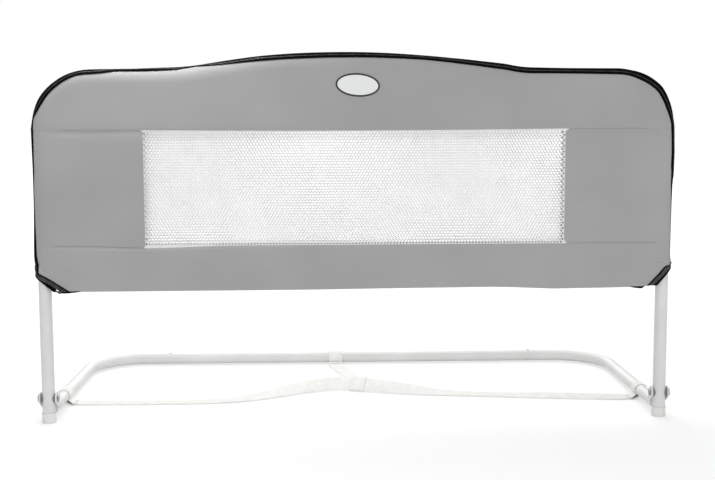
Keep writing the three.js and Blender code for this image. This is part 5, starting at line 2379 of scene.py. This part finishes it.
        def is_cell(middle: Vector, border: float) -> bool:
            """Whether a place is the middle of a cell, well inside the seams.

            Args:
                middle: The place.
                border: The least distance from the seams.

            Returns:
                Whether it is.
            """
            steps = (middle.x + half) * 2 / pitch, (middle.z - low) / rise
            return (
                all(abs(step - round(step)) < 0.1 for step in steps)
                and abs(middle.x) < plan.net_half - border
                and plan.net_bottom + border < middle.z < plan.net_top - border
            )

        with edit_mode(net, "FACE"):
            bpy.ops.mesh.select_all(action="SELECT")
            bpy.ops.mesh.remove_doubles(threshold=0.05 * MM)
            for border, yarn in ((4.5 * MM, strand), (1.6 * MM, 1.5 * strand)):
                pick_faces(net, lambda middle, normal, border=border: is_cell(middle, border))
                bpy.ops.mesh.inset(thickness=yarn / 2, use_individual=True)
                bpy.ops.mesh.delete(type="FACE")
        modify(net, "SOLIDIFY", thickness=0.5 * MM, offset=0.0)
        return outward(net, 30)

    def band(
        self,
        name: str,
        runs: Sequence[float],
        start: Along,
        width: Along,
        lift: float,
        face: Face = Face.FRONT,
        thickness: float | None = None,
        steps: int = 6,
    ) -> Piece:
        """A tape along the edge.

        Args:
            name: The piece's name.
            runs: The distances along the edge that it passes.
            start: At a distance along the edge, the way over the roll where the tape starts.
            width: At a distance along the edge, the tape's width.
            lift: The height of its middle above the cloth's.
            face: The face that ways are counted from.
            thickness: Its thickness, or the tapes' own.
            steps: The number of stretches across it.

        Returns:
            The tape.
        """
        rows, uvs = [], []
        for run in runs:
            ways = [start(run) + width(run) * k / steps for k in range(steps + 1)]
            rows.append([self.outline.place(run, way, lift, face) for way in ways])
            uvs.append([(run, way) for way in ways])
        return sheet(name, np.array(rows), thickness or self.tape, np.array(uvs))

    def tapes(self) -> None:
        """The zip along the front edge, the gusset over the tube, the back binding and the hem."""
        outline, finishes = self.outline, self.finishes
        every = [float(run) for run in outline.run]
        left, right = (outline.spot(side, Stretch.FILLET, 1.0) for side in Side)
        rolled = [run for run in every if left <= run <= right]
        lift = (self.cloth + self.tape) / 2 + 0.05 * MM

        def inner_width(run: float) -> float:
            """The part of the inner tape that shows beside the coil."""
            return self.tape_width * self.tape_part(run)

        def coil_width(run: float) -> float:
            """The coil faces up on the slanted corners, and is seen from its side along the roll."""
            return self.coil_width + (self.coil_flat - self.coil_width) * (1 - outline.weight(run))

        def coil_start(run: float) -> float:
            """The way over the roll where the coil starts."""
            return self.zip_way(run) + inner_width(run) + self.slit

        def outer_start(run: float) -> float:
            """The way over the roll where the outer tape starts."""
            return coil_start(run) + coil_width(run) + self.slit

        def outer_width(run: float) -> float:
            """The outer tape's width; where it lies flat, it ends at the cover's edge.

            Args:
                run: The distance along the edge.

            Returns:
                The width.
            """
            wall = outline.walls[0 if run < outline.run[-1] / 2 else 1] - outline.start
            flat = max(wall - outer_start(run), 1.6 * MM)
            return flat + (self.outer_width - flat) * outline.weight(run)

        for word, start, width in (("inner", self.zip_way, inner_width), ("outer", outer_start, outer_width)):
            tape = self.band(f"zip_tape_{word}", every, start, width, lift)
            install(tape, Body.GUARD, finishes.tape, [f"zip_{word}_tape"])
        install(self.coil(every, coil_start, coil_width, lift), Body.GUARD, finishes.coil, ["zip_coil"])
        for side in Side:
            install(self.tail(side), Body.GUARD, finishes.tape)

        def gusset_start(run: float) -> float:
            """The gusset starts under the outer tape."""
            return outer_start(run) + outer_width(run) - 1.2 * MM

        gusset = self.band(
            "cover_gusset_band",
            rolled,
            gusset_start,
            lambda run: 2 * outline.crest - self.back_way(run) - 1.2 * MM - gusset_start(run),
            0.0,
            thickness=self.cloth,
            steps=12,
        )
        install(gusset, Body.GUARD, finishes.tape, ["cover_gusset"])
        binding = self.band(
            "cover_binding_back",
            every,
            self.back_way,
            lambda run: 2.6 * MM + (outline.crest - self.back_way(run) - 2.6 * MM) * outline.weight(run),
            lift,
            Face.BACK,
        )
        install(binding, Body.GUARD, finishes.tape, ["cover_back_binding"])
        install(self.hem(), Body.GUARD, finishes.cloth, ["cover_hem_strip"])
        Slider(self.plan, finishes).build()

    def tail(self, side: Side) -> Piece:
        """The end of the zip's tapes, folded in under the hem beside a slanted corner.

        Args:
            side: The corner.

        Returns:
            The folded end, a lens of tape that shows below the hem.
        """
        first, thick, last, drop = self.tail_ends[side]
        rows, uvs = [], []
        for share in np.linspace(0, 1, 17):
            x = first + (last - first) * share
            level = min(share / thick, (1 - share) / (1 - thick))
            heights = self.hem_line(x) + np.linspace(0.9 * MM, -drop * math.sin(math.pi / 2 * level), 6)
            front = self.plan.plane - self.outline.depth
            rows.append([(x, front - (0.1 * MM if k > 1 else 0), z) for k, z in enumerate(heights)])
            uvs.append([(x, z) for z in heights])
        return sheet(f"zip_tape_end_{side.word}", np.array(rows), 1.1 * MM, np.array(uvs))

    def coil(
        self,
        runs: Sequence[float],
        start: Along,
        width: Along,
        lift: float,
    ) -> Piece:
        """The zip's coil: a strip that passes under both tapes, with a small rounded tooth at every turn.

        Args:
            runs: The distances along the edge that it passes.
            start: At a distance along the edge, the way over the roll where the coil starts.
            width: At a distance along the edge, the coil's width.
            lift: The height of its middle above the cloth's.

        Returns:
            The coil.
        """
        core = self.band(
            "zip_coil_teeth",
            runs,
            lambda run: start(run) - self.slit - 0.5 * MM,
            lambda run: width(run) + 2 * self.slit + 1.0 * MM,
            lift - 0.7 * MM,
            thickness=0.5 * MM,
            steps=2,
        )
        pitch, deep = self.tooth_pitch, self.tooth_half
        points, faces = [], []
        box = [(0, 1, 2, 3), (7, 6, 5, 4), (0, 4, 5, 1), (1, 5, 6, 2), (2, 6, 7, 3), (3, 7, 4, 0)]
        for k in range(int(self.outline.run[-1] / pitch)):
            run = (k + 0.5) * pitch
            near = start(run) + (0.2 * MM if k % 2 else 0.0)
            far = near + width(run) - 0.2 * MM
            first = len(points)
            for raised in (lift - deep, lift + deep):
                shrink = 0.25 * MM if raised > lift else 0.0
                half = self.tooth_half - shrink / 2
                low, high = near + shrink, far - shrink
                for along, way in ((-1, low), (1, low), (1, high), (-1, high)):
                    points.append(self.outline.place(run + along * half, way, raised))
            faces += [tuple(first + i for i in face) for face in box]
        teeth = from_faces("teeth", points, faces)
        outward(teeth, 20)
        layer = teeth.data.uv_layers.new(name="Cloth")
        for loop in teeth.data.loops:
            layer.data[loop.index].uv = (0.0, 0.0)
        return joined("zip_coil_teeth", [core, teeth])

    def hem(self) -> Piece:
        """The strip that closes the cover between the legs, a little bowed.

        Returns:
            The strip.
        """
        outline = self.outline
        first, last = (outline.at(run, self.plan.cloth_reach)[0] for run in (0.0, outline.run[-1]))
        reach = outline.depth - 0.5 * MM
        rows = []
        for share in np.linspace(0, 1, 90):
            x = first + (last - first) * share
            row = []
            for across in np.linspace(-1, 1, 9):
                bow = 0.8 * MM * (1 - across**2)
                row.append((x, self.plan.plane + across * reach, self.hem_line(x) + 0.6 * MM + bow))
            rows.append(row)
        return sheet("cover_hem", np.array(rows), self.cloth)


@dataclass
class Slider(Part):
    """The zip's slider on the left slanted corner: an enamelled body under a bright bridge."""

    length: float = 9 * MM
    nose: float = 5.4 * MM
    tail: float = 7.4 * MM
    plate: float = 1.5 * MM
    bridge_width: float = 2.0 * MM
    bridge_height: float = 1.7 * MM
    bridge_half: float = 1.8 * MM
    bridge_place: float = -1.8 * MM

    def build(self) -> None:
        """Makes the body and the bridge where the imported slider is."""
        low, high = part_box("zip_slider")
        across, rise = self.plan.left_slant
        along = Vector((across, 0, -rise)).normalized()
        centre = (low + high) / 2
        centre.y = high.y - 2.4 * MM
        turn = Matrix((along, Vector((0, -1, 0)), along.cross(Vector((0, -1, 0))))).transposed()
        frame_of = Matrix.Translation(centre) @ turn.to_4x4()
        install(self.body(frame_of), Body.SLIDER, self.finishes.enamel, ["zip_slider"])
        install(self.bridge(frame_of), Body.SLIDER, self.finishes.bright)

    def body(self, frame_of: Matrix) -> Piece:
        """The slider's upper plate, narrower at its nose, with turned-down rounded edges.

        Args:
            frame_of: The slider's place and turn on the cover.

        Returns:
            The plate.
        """
        body = block("zip_slider_body", (self.length, self.plate, self.tail))
        with edit_mode(body):
            pick_verts(body, lambda place: place.x > 0)
            bpy.ops.transform.resize(value=(1, 1, self.nose / self.tail))
            bpy.ops.mesh.select_all(action="SELECT")
            bpy.ops.mesh.subdivide(number_cuts=3)
            pick_verts(body, lambda place: place.y > 0.4 * self.plate and abs(place.x) < 0.3 * self.length)
            bpy.ops.transform.resize(value=(1, 1, 0.86))
        ease(body, 0.45 * MM, 3)
        body.matrix_world = frame_of
        return outward(settle(body), 35)

    def bridge(self, frame_of: Matrix) -> Piece:
        """The arched bridge that a pull would hang on: one bent strip with round edges.

        Args:
            frame_of: The slider's place and turn on the cover.

        Returns:
            The bridge.
        """
        rows = []
        for angle in np.radians(np.linspace(180, 0, 21)):
            x = self.bridge_place + self.bridge_half * math.cos(angle)
            y = self.plate / 2 + self.bridge_height * math.sin(angle) - 0.1 * MM
            steep = math.cos(angle) / self.bridge_half, math.sin(angle) / self.bridge_height
            out = Vector(steep).normalized()
            row = []
            for turn in np.radians(np.arange(0, 360, 36)):
                half = 0.45 * MM * math.sin(turn)
                row.append((x + out.x * half, y + out.y * half, self.bridge_width / 2 * math.cos(turn)))
            rows.append(row)
        bridge = outward(from_grid("zip_slider_bridge", np.array(rows), closed=True), 50)
        bridge.matrix_world = frame_of
        return settle(bridge)


@dataclass
class Badge(Part):
    """The oval label on the upper panel: a bare satin face with an overlocked edge."""

    x: float = 4 * MM
    z: float = 502.9 * MM
    half_width: float = 32.5 * MM
    half_height: float = 17.1 * MM
    border: float = 2.4 * MM
    back: float = 12.0 * MM
    thickness: float = 0.9 * MM
    lean: float = math.radians(4)
    domed: float = 0.35 * MM

    def build(self) -> None:
        """Makes the face and its border."""
        install(self.face(), Body.GUARD, self.finishes.label, ["badge_face"])
        install(self.rim(), Body.GUARD, self.finishes.overlock, ["badge_border"])

    def around(self, shrink: float, steps: int) -> list[tuple[float, float]]:
        """Points round the oval, inside it by a distance.

        Args:
            shrink: The distance inside the oval.
            steps: The number of points.

        Returns:
            The points as x and z.
        """
        points = []
        for k in range(steps):
            angle = 2 * math.pi * k / steps
            u = (self.half_width - shrink) * math.cos(angle)
            v = (self.half_height - shrink) * math.sin(angle)
            x = u * math.cos(self.lean) + v * math.sin(self.lean)
            z = v * math.cos(self.lean) - u * math.sin(self.lean)
            points.append((self.x + x, self.z + z))
        return points

    def face(self) -> Piece:
        """The label's face: rings that rise a little to its middle.

        Returns:
            The face.
        """
        steps, rings = 96, 10
        front = self.plan.plane - self.back - self.thickness
        points = []
        for share in (ring / rings for ring in range(rings)):
            for x, z in self.around(self.border + 0.2 * MM, steps):
                px, pz = self.x + (x - self.x) * (1 - share), self.z + (z - self.z) * (1 - share)
                points.append((px, front + self.domed * (1 - math.sqrt(share)), pz))
        centre = len(points)
        points.append((self.x, front, self.z))
        last = centre - steps
        faces = skin(rings, steps, True)
        faces += [(last + k, last + (k + 1) % steps, centre) for k in range(steps)]
        label = outward(from_faces("badge_label", points, faces))
        modify(label, "SOLIDIFY", thickness=0.5 * MM, offset=0.0)
        return outward(label)

    def rim(self) -> Piece:
        """The overlocked edge: a rounded cord with slanting stitches round the label.

        Returns:
            The edge.
        """
        steps, stitches = 360, 120
        girth = self.border / 2
        middle = self.around(girth, steps)
        rows = []
        for k, (x, z) in enumerate(middle + middle[:1]):
            before, after = middle[(k - 1) % steps], middle[(k + 1) % steps]
            along = Vector((after[0] - before[0], after[1] - before[1])).normalized()
            row = []
            for turn in range(10):
                angle = 2 * math.pi * turn / 10
                twist = 0.5 + 0.5 * math.sin(2 * math.pi * k * stitches / steps + angle)
                size = girth * (0.86 + 0.14 * twist)
                across, deep = size * math.cos(angle), 0.62 * size * math.sin(angle)
                front = self.plan.plane - self.back - 0.5 * self.thickness - 0.1 * MM
                row.append((x - along.y * across, front + deep, z + along.x * across))
            rows.append(row)
        grid = np.array(rows)
        flat = np.zeros((*grid.shape[:2], 2))
        return outward(from_grid("badge_rim", grid, True, flat, capped=False), 80)


def corners(bounds: tuple[Vector, Vector]) -> list[list[float]]:
    """A box's two corners as plain lists."""
    return [list(map(float, corner)) for corner in bounds]


def main() -> None:
    """Builds the object's looks in order."""
    logging.basicConfig(level=logging.INFO, format="%(message)s")
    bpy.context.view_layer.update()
    plan, finishes = Plan(), Finishes()
    Studio(plan).build()
    Strap(plan, finishes).build()
    Tubes(plan, finishes).build()
    Hinges(plan, finishes).build()
    Cover(plan, finishes, Outline(plan)).build()
    Badge(plan, finishes).build()


if __name__ == "__main__":
    main()
